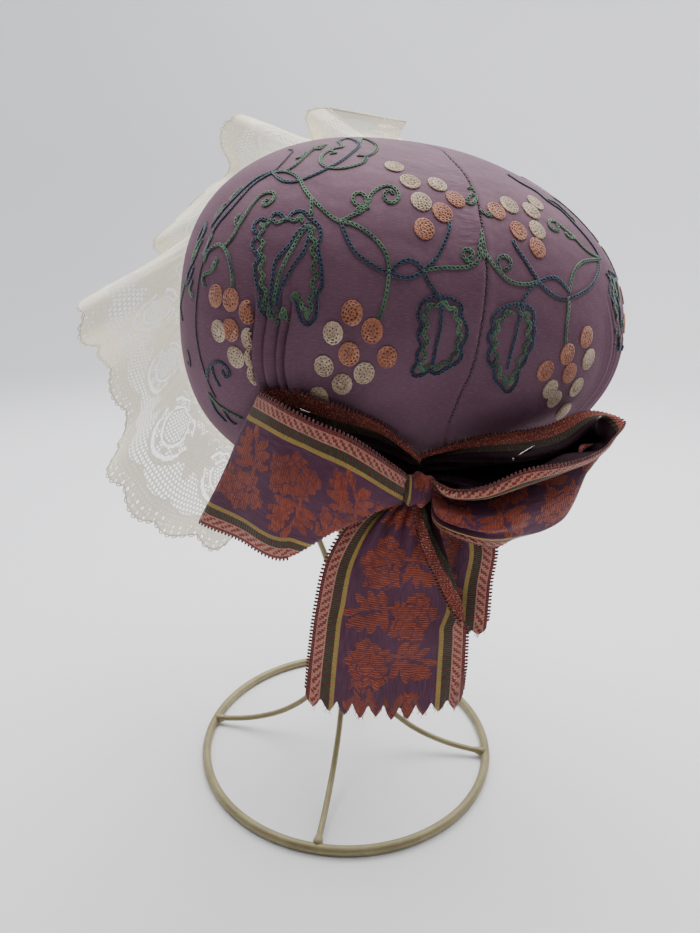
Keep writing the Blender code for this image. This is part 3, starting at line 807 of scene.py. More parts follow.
VINES = (
    # colour, then the line's points
    ("navy", (273, 173), (283, 181), (296, 182), (310, 177), (325, 170), (340, 162), (352, 153),
     (359, 146), (355, 141), (346, 139), (338, 142)),
    ("green", (338, 142), (343, 147), (335, 149), (330, 151), (337, 153), (331, 154)),
    ("green", (329, 151), (322, 156), (321, 163), (328, 168), (340, 169), (352, 167), (363, 163),
     (366, 157), (358, 156)),
    ("green", (366, 157), (374, 153), (377, 147), (371, 142), (362, 139), (359, 143)),
    ("green", (273, 173), (285, 172), (294, 175), (300, 180), (305, 190), (313, 200), (322, 209),
     (331, 217), (340, 222), (352, 224), (365, 231), (376, 240), (385, 252), (389, 268),
     (388, 282), (386, 296), (382, 310), (379, 318)),
    ("green", (312, 199), (311, 215)),
    ("green", (340, 222), (352, 216), (361, 212), (368, 203), (371, 195), (378, 189), (388, 186),
     (396, 190), (399, 197), (394, 203), (387, 202), (384, 195), (389, 190), (393, 194)),
    ("green", (368, 204), (366, 198), (361, 193), (354, 195), (353, 201), (358, 206), (365, 206)),
    ("green", (356, 211), (361, 207), (369, 208), (366, 201)),
    ("navy", (341, 223), (346, 236), (353, 250), (363, 259), (375, 267), (388, 273), (400, 277),
     (412, 277), (422, 272)),
    ("navy", (389, 273), (398, 264), (407, 260), (416, 262), (422, 269)),
    ("navy", (422, 271), (431, 264), (438, 255), (444, 243), (449, 230), (449, 223)),
    ("navy", (423, 271), (429, 283), (435, 291), (440, 299), (441, 312), (440, 328), (436, 345),
     (433, 362), (432, 372)),
    ("green", (424, 271), (432, 269), (445, 268), (460, 268), (468, 267), (475, 264), (479, 258),
     (478, 253)),
    ("green", (472, 264), (464, 259), (462, 252), (468, 249), (473, 255), (468, 259)),
    ("green", (466, 203), (472, 205), (476, 198), (473, 190), (468, 189)),
    ("green", (474, 196), (470, 196), (467, 201)),
    ("green", (480, 211), (486, 216), (492, 216), (488, 213)),
    ("green", (481, 231), (483, 244), (487, 256), (492, 265), (499, 272), (507, 280), (518, 284),
     (530, 284), (538, 281)),
    ("green", (480, 240), (479, 250), (484, 258)),
    ("green", (500, 272), (497, 263), (501, 256), (509, 259), (510, 266), (504, 270)),
    ("navy", (539, 282), (532, 272), (524, 259), (516, 248), (513, 241)),
    ("navy", (538, 282), (529, 290), (523, 300), (522, 310), (518, 324), (514, 340), (510, 355),
     (507, 368)),
    ("navy", (538, 282), (547, 278), (556, 278), (563, 284), (569, 292)),
    ("navy", (538, 282), (546, 290), (556, 297), (566, 299), (575, 296), (586, 290), (594, 281),
     (598, 271), (599, 263)),
    ("green", (569, 291), (571, 280), (575, 269), (582, 262), (592, 260), (599, 260)),
    ("green", (599, 258), (588, 252), (580, 245), (574, 238), (567, 232), (560, 226), (553, 221),
     (548, 222), (551, 229), (558, 231), (557, 225)),
    ("green", (574, 238), (569, 238), (565, 233)),
    ("green", (568, 298), (568, 310), (566, 325), (565, 343)),
    ("navy", (508, 175), (520, 183), (536, 192), (548, 202), (560, 210), (572, 222), (584, 235),
     (594, 248), (600, 259)),
    ("green", (548, 200), (556, 204), (566, 213), (574, 221)),
    ("green", (285, 172), (295, 166), (305, 157), (315, 149), (326, 145)),
    ("green", (297, 159), (303, 157), (306, 153)),
    ("green", (313, 148), (319, 150), (324, 146)),
    ("dark", (273, 173), (283, 163), (290, 155), (293, 151), (289, 150)),
    ("navy", (273, 173), (260, 180), (250, 188), (240, 199), (228, 213), (217, 226), (210, 240),
     (205, 256)),
    ("dark", (205, 256), (200, 275), (197, 300), (196, 325), (199, 350), (205, 372), (212, 390),
     (216, 397)),
    ("navy", (273, 172), (258, 178), (245, 188), (233, 200), (222, 212), (212, 226)),
    ("green", (242, 188), (236, 194), (230, 200), (235, 198)),
    ("green", (226, 204), (219, 212), (215, 220), (221, 214), (224, 208), (217, 216)),
    ("green", (206, 226), (203, 236), (197, 246), (193, 258), (198, 250), (203, 240)),
    ("green", (188, 275), (184, 290), (181, 306), (183, 320)),
    ("navy", (207, 222), (201, 233), (197, 245), (201, 240), (206, 230), (207, 222)),
    ("green", (199, 243), (195, 253), (192, 264), (196, 257), (199, 248)),
    ("navy", (194, 262), (189, 272), (187, 284), (191, 277), (194, 268)),
    ("green", (213, 236), (208, 245), (204, 256), (208, 251)),
    ("green", (193, 281), (190, 290), (193, 296)),
    ("green", (205, 262), (208, 253), (214, 247), (221, 245), (227, 252), (231, 265), (233, 280),
     (233, 289)),
    ("green", (224, 247), (232, 239), (238, 228), (245, 217), (252, 206), (260, 197), (268, 193),
     (275, 194), (273, 201), (266, 206), (263, 203), (268, 200)),
    ("green", (240, 215), (236, 220), (238, 227), (243, 217)),
    ("green", (217, 258), (216, 266), (211, 272), (205, 274), (203, 281), (206, 286)),
    ("green", (213, 271), (214, 264), (218, 260)),
    ("navy", (208, 378), (208, 370), (213, 364), (220, 362), (227, 367), (230, 375), (225, 377),
     (223, 371)),
    ("navy", (212, 366), (215, 377), (220, 386)),
    ("green", (209, 393), (218, 404), (230, 412), (242, 418)),
    ("navy", (211, 398), (216, 410), (226, 421)),
    ("navy", (224, 410), (230, 420), (236, 424)),
    ("dark", (188, 350), (190, 358), (191, 366), (188, 362)),
)

# Leaf outlines: a navy line with a green one inside it
LEAVES = (
    ((435, 297), (429, 298), (422, 303), (418, 312), (419, 320), (422, 328), (418, 332),
     (419, 341), (422, 347), (417, 353), (417, 362), (412, 370), (414, 376), (422, 375),
     (430, 370), (434, 374), (441, 372), (450, 366), (458, 362), (462, 355), (460, 347),
     (464, 343), (467, 332), (464, 320), (460, 316), (462, 307), (454, 300), (444, 297),
     (435, 297)),
    ((514, 304), (504, 307), (495, 314), (491, 322), (494, 328), (488, 335), (488, 341),
     (492, 347), (488, 353), (489, 362), (494, 370), (494, 378), (500, 385), (506, 392),
     (512, 389), (517, 380), (518, 370), (525, 362), (527, 353), (533, 345), (532, 339),
     (535, 330), (532, 324), (534, 318), (532, 310), (525, 305), (514, 304)),
    ((311, 219), (306, 213), (299, 211), (292, 214), (287, 221), (281, 214), (274, 214),
     (269, 221), (262, 219), (255, 224), (254, 231), (262, 235), (253, 241), (254, 250),
     (261, 256), (255, 264), (256, 277), (258, 288), (262, 295), (259, 304), (263, 313),
     (270, 317)),
    ((311, 219), (319, 226), (321, 236), (318, 248), (321, 262), (322, 276), (322, 288),
     (316, 295), (317, 306), (315, 318), (309, 325), (303, 322), (299, 312), (296, 300)),
    ((608, 271), (616, 277), (621, 289), (626, 303), (628, 318), (626, 335), (621, 347),
     (614, 348), (611, 338), (614, 327), (612, 315), (613, 303), (609, 292), (610, 281),
     (606, 274)),
)
VEINS = (
    ("navy", (309, 223), (303, 228), (296, 235), (290, 245), (281, 254), (275, 263), (273, 278),
     (271, 295), (272, 312)),
    ("navy", (311, 227), (308, 240), (304, 252), (296, 262), (290, 272), (284, 283), (279, 293),
     (277, 306)),
    ("green", (308, 226), (300, 236), (293, 248), (286, 260), (281, 272), (277, 285), (274, 303)),
    ("green", (262, 305), (267, 312), (274, 318), (279, 311)),
    ("green", (275, 325), (281, 318), (284, 308), (286, 318), (290, 322)),
    ("green", (292, 300), (295, 292), (298, 302), (300, 296)),
    ("green", (616, 282), (619, 300), (620, 318), (618, 336)),
)

GRAPE_HALF = (3.3 * MM, 4.0 * MM)
GRAPE_PITCH = 1.15 * MM
GRAPES = {
    "cream": ((394, 167), (410, 182), (437, 185), (421, 202), (509, 205), (531, 211),
              (535, 203), (537, 230), (588, 359), (550, 389), (576, 387), (554, 399),
              (563, 411), (333, 333), (324, 366), (364, 373), (342, 384), (319, 396),
              (219, 331), (250, 339), (236, 357), (253, 359), (256, 376)),
    "orange": ((455, 200), (442, 213), (424, 229), (496, 211), (518, 231), (537, 248),
               (586, 337), (567, 354), (545, 371), (569, 373), (352, 313), (372, 331),
               (349, 354), (387, 357), (216, 296), (231, 300), (248, 312), (231, 330)),
}
SEAM_LINE = ((443, 150), (461, 169), (469, 181), (477, 199), (480, 215), (483, 231), (486, 258),
             (487, 278), (485, 304), (480, 336), (477, 351), (470, 375), (462, 391), (454, 411),
             (449, 423))


def stitch_shape(around=10, sides=4):
    """One chain stitch of unit length and width along +X: a loop of thread, wide in front."""
    angle = 2 * math.pi * np.arange(around) / around
    points = 0.5 * np.stack([np.cos(angle), np.sin(angle) * (0.66 + 0.34 * np.cos(angle)),
                             np.zeros(around)], axis=1)
    along = np.roll(points, -1, axis=0) - np.roll(points, 1, axis=0)
    normal = unit(np.stack([along[:, 1], -along[:, 0], np.zeros(around)], axis=1))
    faces = []
    for step in range(around):
        ring = ring_faces(step * sides, (step + 1) % around * sides, sides)
        faces += [(a, d, c, b) for a, b, c, d in ring]
    return points, normal, sides, faces


STITCH = stitch_shape()


def add_stitch(batch, place, along, up, colour, size=1.0):
    points, normal, sides, faces = STITCH
    across = np.cross(up, along)
    flat = (points[:, :1] * STITCH_LENGTH * along + points[:, 1:2] * STITCH_WIDTH * size * across)
    out = normal[:, :1] * along + normal[:, 1:2] * across
    rise = THREAD_RADIUS * (0.75 + 0.5 * (0.5 - points[:, :1]))
    rings = []
    for corner in range(sides):
        angle = 2 * math.pi * (corner + 0.5) / sides
        rings.append(place + flat + up * rise
                     + THREAD_RADIUS * size * (math.cos(angle) * out + math.sin(angle) * up))
    batch.add(np.stack(rings, axis=1).reshape(-1, 3), faces, colour)


def thread_colour(name, distance, seed):
    """Variegated thread: the colour drifts along the line."""
    first, second, third = [np.array(c) for c in THREAD_COLOURS[name]]
    drift = 0.5 + 0.9 * ripple(distance / DRIFT_LENGTH, seed)
    colour = first + (second - first) * min(max(drift, 0.0), 1.0)
    patch = max(ripple(distance / PATCH_LENGTH + 40.0, seed), 0.0)
    colour = colour + (third - colour) * min(1.6 * patch, 1.0)
    return colour * (1.0 + 0.3 * ripple(distance / TWIST_LENGTH + 9.0, seed))


def line_on_cap(cap, pixels, steps=8):
    """Points of the cap under a smooth line through pixels."""
    return [on_form(cap.form, x, y) for x, y in smooth_rows(pixels, steps)]


def sew_line(batch, cap, points, colour, seed, size=1.0, keep=None):
    """Chain stitches along points of the cap; keep says at which places they are sewn."""
    if len(points) < 2:
        return
    path = np.array([tuple(point) for point in points])
    lengths = lengths_along(path)
    count = max(int(lengths[-1] / STITCH_STEP), 1)
    spots = points_at(np.linspace(0, lengths[-1], count + 1), path, lengths)
    for index in range(count):
        start, end = spots[index], spots[index + 1]
        if keep and not keep(*cap_place(start)):
            continue
        middle, up = cap.settle(0.5 * (start + end))
        along = unit(end - start - up * np.dot(end - start, up))
        add_stitch(batch, middle, along, up, thread_colour(colour, index * STITCH_STEP, seed),
                   size)


def inset_line(cap, points):
    """A lobed line inside a leaf's outline."""
    path = np.array([tuple(point) for point in points])
    middle = path.mean(axis=0)
    ends = np.pad(path, ((INSET_SPREAD, INSET_SPREAD), (0, 0)), "edge")
    path = np.array([ends[i:i + 2 * INSET_SPREAD + 1].mean(axis=0) for i in range(len(path))])
    along = np.gradient(path, axis=0)
    moved = []
    for point, direction, place in zip(path, along, lengths_along(path)):
        side = unit(np.cross(cap.settle(point)[1], direction))
        if np.dot(side, middle - point) < 0:
            side = -side
        inset = LEAF_INSET + LOBE_DEPTH * math.cos(2 * math.pi * place / LOBE_STEP)
        moved.append(point + side * inset)
    return moved


def sew_grape(batch, cap, centre, colour, seed, keep=None):
    """A spiral of chain stitches, filled from the rim inwards."""
    up = cap.settle(centre)[1]
    tall = unit(np.array((0.0, 0.0, 1.0)) - up * up[2])
    wide = np.cross(tall, up)
    lean = 0.35 * ripple(seed * 3.1, 5)
    tall, wide = (tall * math.cos(lean) + wide * math.sin(lean),
                  wide * math.cos(lean) - tall * math.sin(lean))
    swell = 1.0 + 0.1 * ripple(seed * 1.7, 9)
    points, share, angle = [], 1.0, 1.2 * seed
    ring_end = angle + 2 * math.pi
    while share > 0.08:
        half_wide, half_tall = (half * share * swell for half in GRAPE_HALF)
        points.append(np.array(centre) + wide * half_wide * math.cos(angle)
                      + tall * half_tall * math.sin(angle))
        turn = 0.35 / max(share, 0.25)
        angle += turn
        if angle > ring_end:
            share -= GRAPE_PITCH / (0.5 * sum(GRAPE_HALF)) * turn / (2 * math.pi)
    sew_line(batch, cap, points, colour, seed, keep=keep)


def make_embroidery(cap, material):
    vines, grapes = Batch(), Batch()

    def far(longitude, polar):
        return longitude > FAR_SIDE

    def before_pleats(longitude, polar):
        return abs(longitude) > float(drifted_longitude(LAST_PLEAT, polar))

    def sew_both(batch, points, colour, seed, size=1.0):
        sew_line(batch, cap, points, colour, seed, size)
        twins = [beyond_seam(cap, point) for point in points if cap_place(point)[0] < 0]
        sew_line(batch, cap, [twin for twin in twins if twin], colour, seed + 50, size, far)

    for seed, (colour, *pixels) in enumerate(VINES + VEINS):
        size = 0.6 if colour == "dark" else 1.0
        sew_both(vines, line_on_cap(cap, pixels), colour, seed, size)
    for seed, pixels in enumerate(LEAVES):
        outline = line_on_cap(cap, pixels)
        sew_both(vines, outline, "navy", 80 + seed)
        sew_both(vines, inset_line(cap, outline), "green", 90 + seed)
    spots = [(colour, *pixel) for colour, pixels in GRAPES.items() for pixel in pixels]
    for seed, (colour, x, y) in enumerate(spots, 201):
        centre = on_form(cap.form, x, y)
        keep = before_pleats if x < PLEAT_PIXEL else None
        sew_grape(grapes, cap, centre, colour, seed, keep)
        twin = beyond_seam(cap, centre)
        if twin and cap_place(twin)[0] > FAR_SIDE:
            sew_grape(grapes, cap, twin, colour, seed + 300, keep)
    vines.build("vine_stitches", material, "silk")
    grapes.build("grape_stitches", material, "silk")


def make_seam_stitches(cap, material):
    """Short dark stitches that close the back seam, one to the left and one to the right."""
    batch = Batch()
    path = np.array([tuple(p) for p in line_on_cap(cap, SEAM_LINE, 12)])
    lengths = lengths_along(path)
    for number, place in enumerate(np.arange(1.0 * MM, lengths[-1], SEAM_STITCH_STEP)):
        ends = points_at(place + np.array((-0.5, 0.5)) * MM, path, lengths)
        (start, up), (end, _) = [cap.settle(spot) for spot in ends]
        side = unit(np.cross(up, end - start)) * 0.5 * MM * (1 if number % 2 else -1)
        lift = up * 0.2 * MM
        batch.add(*tube_mesh(np.linspace(start - side + lift, end + side + lift, 3),
                             SEAM_THREAD_RADIUS, 4), srgb(30, 16, 26))
    batch.build("seam_stitches", material, "silk")


# Lace frill

LACE_SECTIONS = (
    # angle, outward, forward, along
    (-135, 41, 46, -3),
    (-128, 49, 52, -7),
    (-121, 51, 51, -7),
    (-114, 58, 40, -17),
    (-108, 58, 35, -24),
    (-103, 58, 33, -27),
    (-98, 50, 39, -34),
    (-94, 43, 44, -38),
    (-89, 48, 47, -27),
    (-85, 46, 40, -28),
    (-81, 46, 26, -34),
    (-77, 46, 12, -40),
    (-72, 45, 8, -47),
    (-68, 43, 12, -49),
    (-63, 31, 42, -42),
    (-58, 16, 58, -36),
    (-53, 20, 54, -41),
    (-48, 19, 61, -30),
    (-44, 20, 63, -25),
    (-39, 21, 65, -18),
    (-32, 31, 56, -31),
    (-25, 37, 48, -40),
    (-18, 30, 54, -36),
    (-12, 20, 62, -24),
    (-6, 31, 54, -34),
    (0, 36, 57, -25),
    (6, 33, 61, -10),
    (13, 25, 60, -24),
    (22, 9, 68, -8),
    (32, 13, 66, -10),
    (42, 6, 69, 0),
    (53, 17, 64, -14),
    (64, 7, 68, 0),
    (76, 22, 62, -14),
    (88, 11, 67, 0),
    (100, 23, 62, -12),
    (112, 12, 66, 0),
    (124, 18, 62, -6),
    (135, 8, 60, 0),
)
LACE_STEPS = 20
LACE_ROWS = 30
GATHER_STEP = 4.6 * MM
GATHER_HEIGHT = 2.2 * MM
EDGE_CORD_RADIUS = 0.35 * MM
PICOT_THREAD_RADIUS = 0.3 * MM
PICOT_HEIGHT = 1.5 * MM


def rim_point(angle):
    polar = abs(angle)
    longitude = math.copysign(float(edge_longitude(polar)), angle)
    return cap_points(np.array(longitude), np.array(polar), -0.5 * WALL)


def rim_frame(angle):
    point = rim_point(angle)
    along = unit(rim_point(angle + 3.0) - rim_point(angle - 3.0))
    outward = point - CAP_CENTRE
    outward = unit(outward - along * np.dot(outward, along))
    return point, outward, np.cross(outward, along), along


def lace_line(section, shares, reach=1.0, gather=0.0):
    """One line of the frill from the cap's edge to its tip."""
    angle, out, ahead, lift = section
    point, outward, forward, along = rim_frame(angle)
    base = point + forward * 0.8 * MM
    middle = base + forward * (0.3 * math.hypot(out, ahead) * MM)
    to_top = -along if angle > 0 else along
    tip = base + (outward * out + forward * ahead + to_top * lift) * MM
    shares = (shares * reach)[:, None]
    line = base * (1 - shares) ** 2 + middle * 2 * shares * (1 - shares) + tip * shares ** 2
    fade = np.exp(-shares * 4.0) * smoothstep(shares, 0.0, 0.02)
    return line + outward * gather * fade


def make_lace(material):
    sections = smooth_rows(LACE_SECTIONS, LACE_STEPS)
    shares = np.linspace(0.0, 1.0, LACE_ROWS + 1)
    rim, tips = [lengths_along(np.array([lace_line(section, end)[0] for section in sections]))
                 for end in (np.zeros(1), np.ones(1))]
    grid, uv = [], []
    for section, base, place in zip(sections, rim, tips):
        wave = abs(math.sin(math.pi * place / (SCALLOP_STEP * MM)))
        reach = 1.0 - (SCALLOP_DEPTH / LACE_WIDTH) * (1.0 - wave)
        gather = GATHER_HEIGHT * math.sin(2 * math.pi * base / GATHER_STEP)
        grid.append(lace_line(section, shares, reach, gather))
        across = shares * reach * LACE_WIDTH
        uv.append(np.stack([np.full(len(shares), place / MM), across], axis=1))
    grid = np.array(grid)
    lace = cloth_piece("lace", grid, np.array(uv), material, "lace_frill")
    return grid, tips


def make_lace_edge(grid, tips, material):
    """Raised cord and tiny loops along the lace's free edge."""
    batch = Batch()
    edge, before = grid[:, -1], grid[:, -3]
    batch.add(*tube_mesh(edge, EDGE_CORD_RADIUS, 5))
    share = np.linspace(0.0, 1.0, 9)
    for number in range(int(tips[-1] / (PICOT_STEP * MM))):
        spots = PICOT_STEP * MM * (number + 0.1 + 0.8 * share)
        on_edge = points_at(spots, edge, tips)
        out = unit(on_edge - points_at(spots, before, tips))
        loop = on_edge + out * (PICOT_HEIGHT * np.sin(math.pi * share))[:, None]
        batch.add(*tube_mesh(loop, PICOT_THREAD_RADIUS, 4))
    batch.build("lace_picots", material, "lace")


# Ribbon bow

LEFT_LOOP = (
    # top x, y, z, bottom x, y, z, bulge
    (24, -93, 206.5, 24, -92, 194.5, 0.5),
    (17, -100, 213.5, 15, -97, 194, 1.5),
    (1, -107, 226, -5, -99, 185, 3),
    (-18, -105, 234, -28, -93, 169, 2.5),
    (-30, -99, 239, -48, -84, 174, 1.5),
    (-37, -92.5, 241, -67, -75, 178, 0),
    (-33, -91.5, 242, -63, -70, 178, -1),
    (-22, -94, 242, -50, -66, 175, -1),
    (-6, -95.5, 237, -30, -67, 173, 0),
    (13, -90, 228, 4, -74, 182, 0),
    (29.8, -87.4, 213, 28.6, -86.5, 197, 0),
)
RIGHT_LOOP = (
    (33.5, -93, 206.5, 33.5, -92, 195.5, 0.5),
    (42, -101, 204, 41, -97, 191, 1),
    (55, -107, 208, 52, -98, 187, 2),
    (71, -107, 215, 63, -97, 185, 2),
    (90, -100, 216, 77, -93, 190, 2),
    (107, -87, 219, 90, -87, 198, 1),
    (119, -72, 224.5, 101, -81, 204, 0),
    (117, -66, 228, 100, -76, 197, -1),
    (104, -64, 229, 90, -72, 189, -1),
    (84, -69, 222.5, 76, -72, 184, 0),
    (54, -77.5, 220, 56, -76.5, 186, 0),
    (28.2, -84.6, 213.5, 31, -86, 197, 0),
)
FRONT_TAIL = (
    (20, -91, 199, 33, -92, 198, 0),
    (2, -94.5, 188.5, 39, -97.5, 181, 2),
    (-9, -97, 171, 45, -98, 163, 2),
    (-14, -97, 147, 51, -98, 144, 1),
    (-16.5, -96, 126, 52.5, -97, 125, 1),
    (-19, -95, 103, 53, -96, 104, 1.5),
)
BACK_TAIL = (
    (24.5, -88, 194.5, 33.5, -88, 194.5, 0),
    (11, -87.5, 181, 54, -87, 185, 0),
    (1, -87, 165, 64, -85, 174, 0),
    (-4, -86, 144, 64, -84, 152, 0),
    (-6, -85, 126, 64, -83, 131, 0),
)
RIBBON_THICKNESS = 0.7 * MM
RIBBON_STEPS = 14
RIBBON_COLUMNS = 84
FOLD_COUNT = 6
FOLD_HEIGHT = 1.9 * MM
FOLD_REACH = 24.0 * MM
LAYER_GAP = 1.0 * MM
WAVE_LENGTH = 18.0 * MM
WAVE_HEIGHT = 1.2 * MM
RIBBON_PICOT_STEP = 1.8 * MM
RIBBON_PICOT_LENGTH = 1.4 * MM
RIBBON_PICOT_RADII = np.array((0.42, 0.55, 0.32)) * MM
HEM = (
    # millimetres from the knot, share of the ribbon's width that is folded over
    (0.0, 0.3),
    (15.0, 0.21),
    (33.0, 0.12),
    (50.0, 0.07),
    (59.0, 0.0),
)
TAIL_TEETH = 10
TAIL_DROOP = 4.5 * MM
LOOSE_THREADS = 110
LOOSE_THREAD_RADIUS = 0.1 * MM
KNOT_CENTRE = np.array((28.3, -91.0, 200.8)) * MM
KNOT_HALF = np.array((7.4, 7.4, 7.0)) * MM
# Cross-sections of the right loop, which is scrunched: share of the ribbon's width, share of the
# way down, millimetres inwards
CREASED = (
    (0.0, 0.0, 0.0),
    (0.16, 0.2, -1.0),
    (0.34, 0.42, 12.0),
    (0.56, 0.5, -4.0),
    (0.8, 0.78, -8.0),
    (1.0, 1.0, -8.0),
)
ROUNDED = (
    (0.0, 0.0, 0.0),
    (0.16, 0.15, 1.0),
    (0.32, 0.34, 12.0),
    (0.54, 0.54, -1.0),
    (0.74, 0.86, -7.0),
    (0.86, 0.99, -7.5),
    (1.0, 0.9, 0.0),
)
PRESSED = (
    (0.0, 0.0, 0.0),
    (0.22, 0.2, 14.0),
    (0.42, 0.4, 1.0),
    (0.62, 0.6, 15.0),
    (0.82, 0.8, 1.0),
    (1.0, 1.0, 10.0),
)


def line_shares(sections):
    return np.arange(len(sections)) / (len(sections) - 1)


def lay_flat(sections, share, along):
    """Places across each line, as shares from edge to edge and metres inwards."""
    down = np.tile(share, (len(sections), 1))
    return down, np.zeros_like(down)


def fold_over(share, keep, gap):
    """Cloth that lies flat over a share of its width and is folded to and fro past that."""
    place = share[None, :] / keep[:, None]
    layer = np.floor(place)
    rest = place - layer
    down = np.where(layer % 2 == 0, rest, 1.0 - rest)
    depth = sum(smoothstep(place, turn, turn + 0.06) for turn in (1.0, 2.0, 3.0, 4.0))
    return down, depth * gap


def tuck_left_loop(sections, share, along):
    """The front panel's lower part is folded in behind it, the back layer is gathered."""
    width = np.linalg.norm(sections[:, 0:3] - sections[:, 3:6], axis=1)
    lines = line_shares(sections)
    keep = np.clip(width / (0.91 * RIBBON_WIDTH), 0.22, 1.0)
    keep += (1.0 - keep) * smoothstep(lines, 0.45, 0.55)
    return fold_over(share, keep, LAYER_GAP)


def fold_front_tail(sections, share, along):
    """The right border is folded over to the front near the knot."""
    keep = 1.0 - np.interp(along / MM, *np.array(HEM).T)
    return fold_over(share, keep, -LAYER_GAP)


def scrunch_right_loop(sections, share, along):
    """Creased near the knot, rounded further out, pressed into folds at the back."""
    lines = line_shares(sections)
    weights = (
        (CREASED, smoothstep(lines, 0.02, 0.1) * (1 - smoothstep(lines, 0.24, 0.38))),
        (ROUNDED, smoothstep(lines, 0.24, 0.38) * (1 - smoothstep(lines, 0.4, 0.52))),
        (PRESSED, smoothstep(lines, 0.54, 0.66) * (1 - smoothstep(lines, 0.86, 0.98))),
    )
    down, inwards = lay_flat(sections, share, along)
    for profile, weight in weights:
        rows = smooth_rows(profile, 8)
        place = np.interp(share, rows[:, 0], rows[:, 1])
        down += weight[:, None] * (place - share)
        inwards += weight[:, None] * np.interp(share, rows[:, 0], rows[:, 2]) * MM
    return down, inwards


def ribbon_grid(rows, arrange, teeth=0, tooth_depth=0.0, droop=0.0, front_folds=True):
    """Crosswise lines of a ribbon piece with creases that run out of the knot."""
    sections = smooth_rows(rows, RIBBON_STEPS)
    share = np.linspace(0.0, 1.0, RIBBON_COLUMNS + 1)
    first, second = sections[:, None, 0:3] * MM, sections[:, None, 3:6] * MM
    centre = 0.5 * (first + second)[:, 0]
    along = lengths_along(centre)
    down, inwards = arrange(sections, share, along)
    inner = unit(np.cross(np.gradient(centre, axis=0), (first - second)[:, 0]))
    inner *= np.sign(inner[len(inner) // 4, 1])
    arc = np.sin(math.pi * down)
    inwards = inwards - sections[:, 6:7] * MM * arc
    from_knot = along if teeth else np.minimum(along, along[-1] - along)
    fade = np.exp(-(from_knot / FOLD_REACH) ** 2)[:, None]
    fold = np.sin(2 * math.pi * (FOLD_COUNT * down + 0.16 * np.sin(5.0 * down)))
    lines = line_shares(sections)
    depth = FOLD_HEIGHT * (1.0 if front_folds else smoothstep(lines, 0.45, 0.6)[:, None])
    inwards = inwards + depth * fold * fade * smoothstep(from_knot, 0, 9 * MM)[:, None]
    soft = WAVE_HEIGHT * np.array([[noise.noise(Vector((place / WAVE_LENGTH, 3.0 * share, 5.0)))
                                    for share in line] for place, line in zip(along, down)])
    inwards = inwards + soft * smoothstep(from_knot, 5 * MM, 25 * MM)[:, None]
    grid = first + (second - first) * down[..., None] + inner[:, None] * inwards[..., None]
    grid[..., 2] -= droop * arc * lines[:, None]
    if teeth:
        number = np.floor(share * teeth)
        vary = np.array([1.0 + 0.45 * ripple(n * 1.7 + 0.3, 12) for n in number])
        saw = (1.0 - np.abs(((share * teeth) % 1.0) * 2.0 - 1.0)) ** 0.65
        near_end = smoothstep(along, along[-1] - 2.5 * tooth_depth, along[-1])[:, None]
        grid[..., 2] -= tooth_depth * (saw * vary)[None, :] * near_end
    return grid, inner, along


def make_ribbon(name, node, rows, materials, arrange, **ends):
    grid, inner, along = ribbon_grid(rows, arrange, **ends)
    across = np.linspace(0.0, RIBBON_WIDTH, RIBBON_COLUMNS + 1)
    uv = np.stack(np.broadcast_arrays(across[None, :], along[:, None] / MM), axis=-1)
    line = len(grid) // 4
    outwards = np.cross(grid[line + 1, 0] - grid[line, 0], grid[line, 3] - grid[line, 0])
    piece = cloth_piece(name, grid, uv, materials[0], node,
                        flip=np.dot(outwards, inner[line]) > 0)
    add_wall(piece, materials[1], thickness=RIBBON_THICKNESS, offset=0.0, material_offset=1)
    return grid


def make_picots(grids, material):
    """Small loops of red thread along the ribbon's two selvedges."""
    batch = Batch()
    for grid in grids:
        for edge, inner in ((grid[:, 0], grid[:, 2]), (grid[:, -1], grid[:, -3])):
            lengths = lengths_along(edge)
            places = np.arange(2.0 * MM, lengths[-1] - 2.0 * MM, RIBBON_PICOT_STEP)
            starts = points_at(places, edge, lengths)
            out = unit(starts - points_at(places, inner, lengths))
            tips = starts + out * RIBBON_PICOT_LENGTH
            for place, start, tip in zip(places, starts, tips):
                tone = 0.75 + 0.4 * ripple(place / MM, 3)
                batch.add(*tube_mesh(np.linspace(start, tip, 3), RIBBON_PICOT_RADII, 6),
                          np.array(srgb(122, 50, 48)) * tone)
    batch.build("ribbon_picots", material, "brocade")


def make_fray(grids, material):
    """Loose threads at the pinked ends."""
    batch = Batch()
    chance = np.random.default_rng(7)
    tones = (srgb(140, 66, 50), srgb(196, 160, 140), srgb(84, 48, 70), srgb(96, 40, 44))
    for grid in grids:
        end = grid[-1]
        for _ in range(LOOSE_THREADS):
            place = chance.uniform(0, len(end) - 1.01)
            low = int(place)
            start = end[low] + (end[low + 1] - end[low]) * (place - low)
            way = unit(np.array((chance.normal(0, 0.45), chance.normal(0, 0.25), -1.0)))
            length = chance.uniform(0.6, 2.6) * MM
            bend = np.array((chance.normal(0, 0.3), 0.0, 0.0)) * MM
            path = np.array([start - way * 0.4 * MM, start + way * 0.5 * length,
                             start + way * length + bend])
            batch.add(*tube_mesh(path, LOOSE_THREAD_RADIUS, 4), tones[chance.integers(len(tones))])
    batch.build("frayed_threads", material, "brocade")


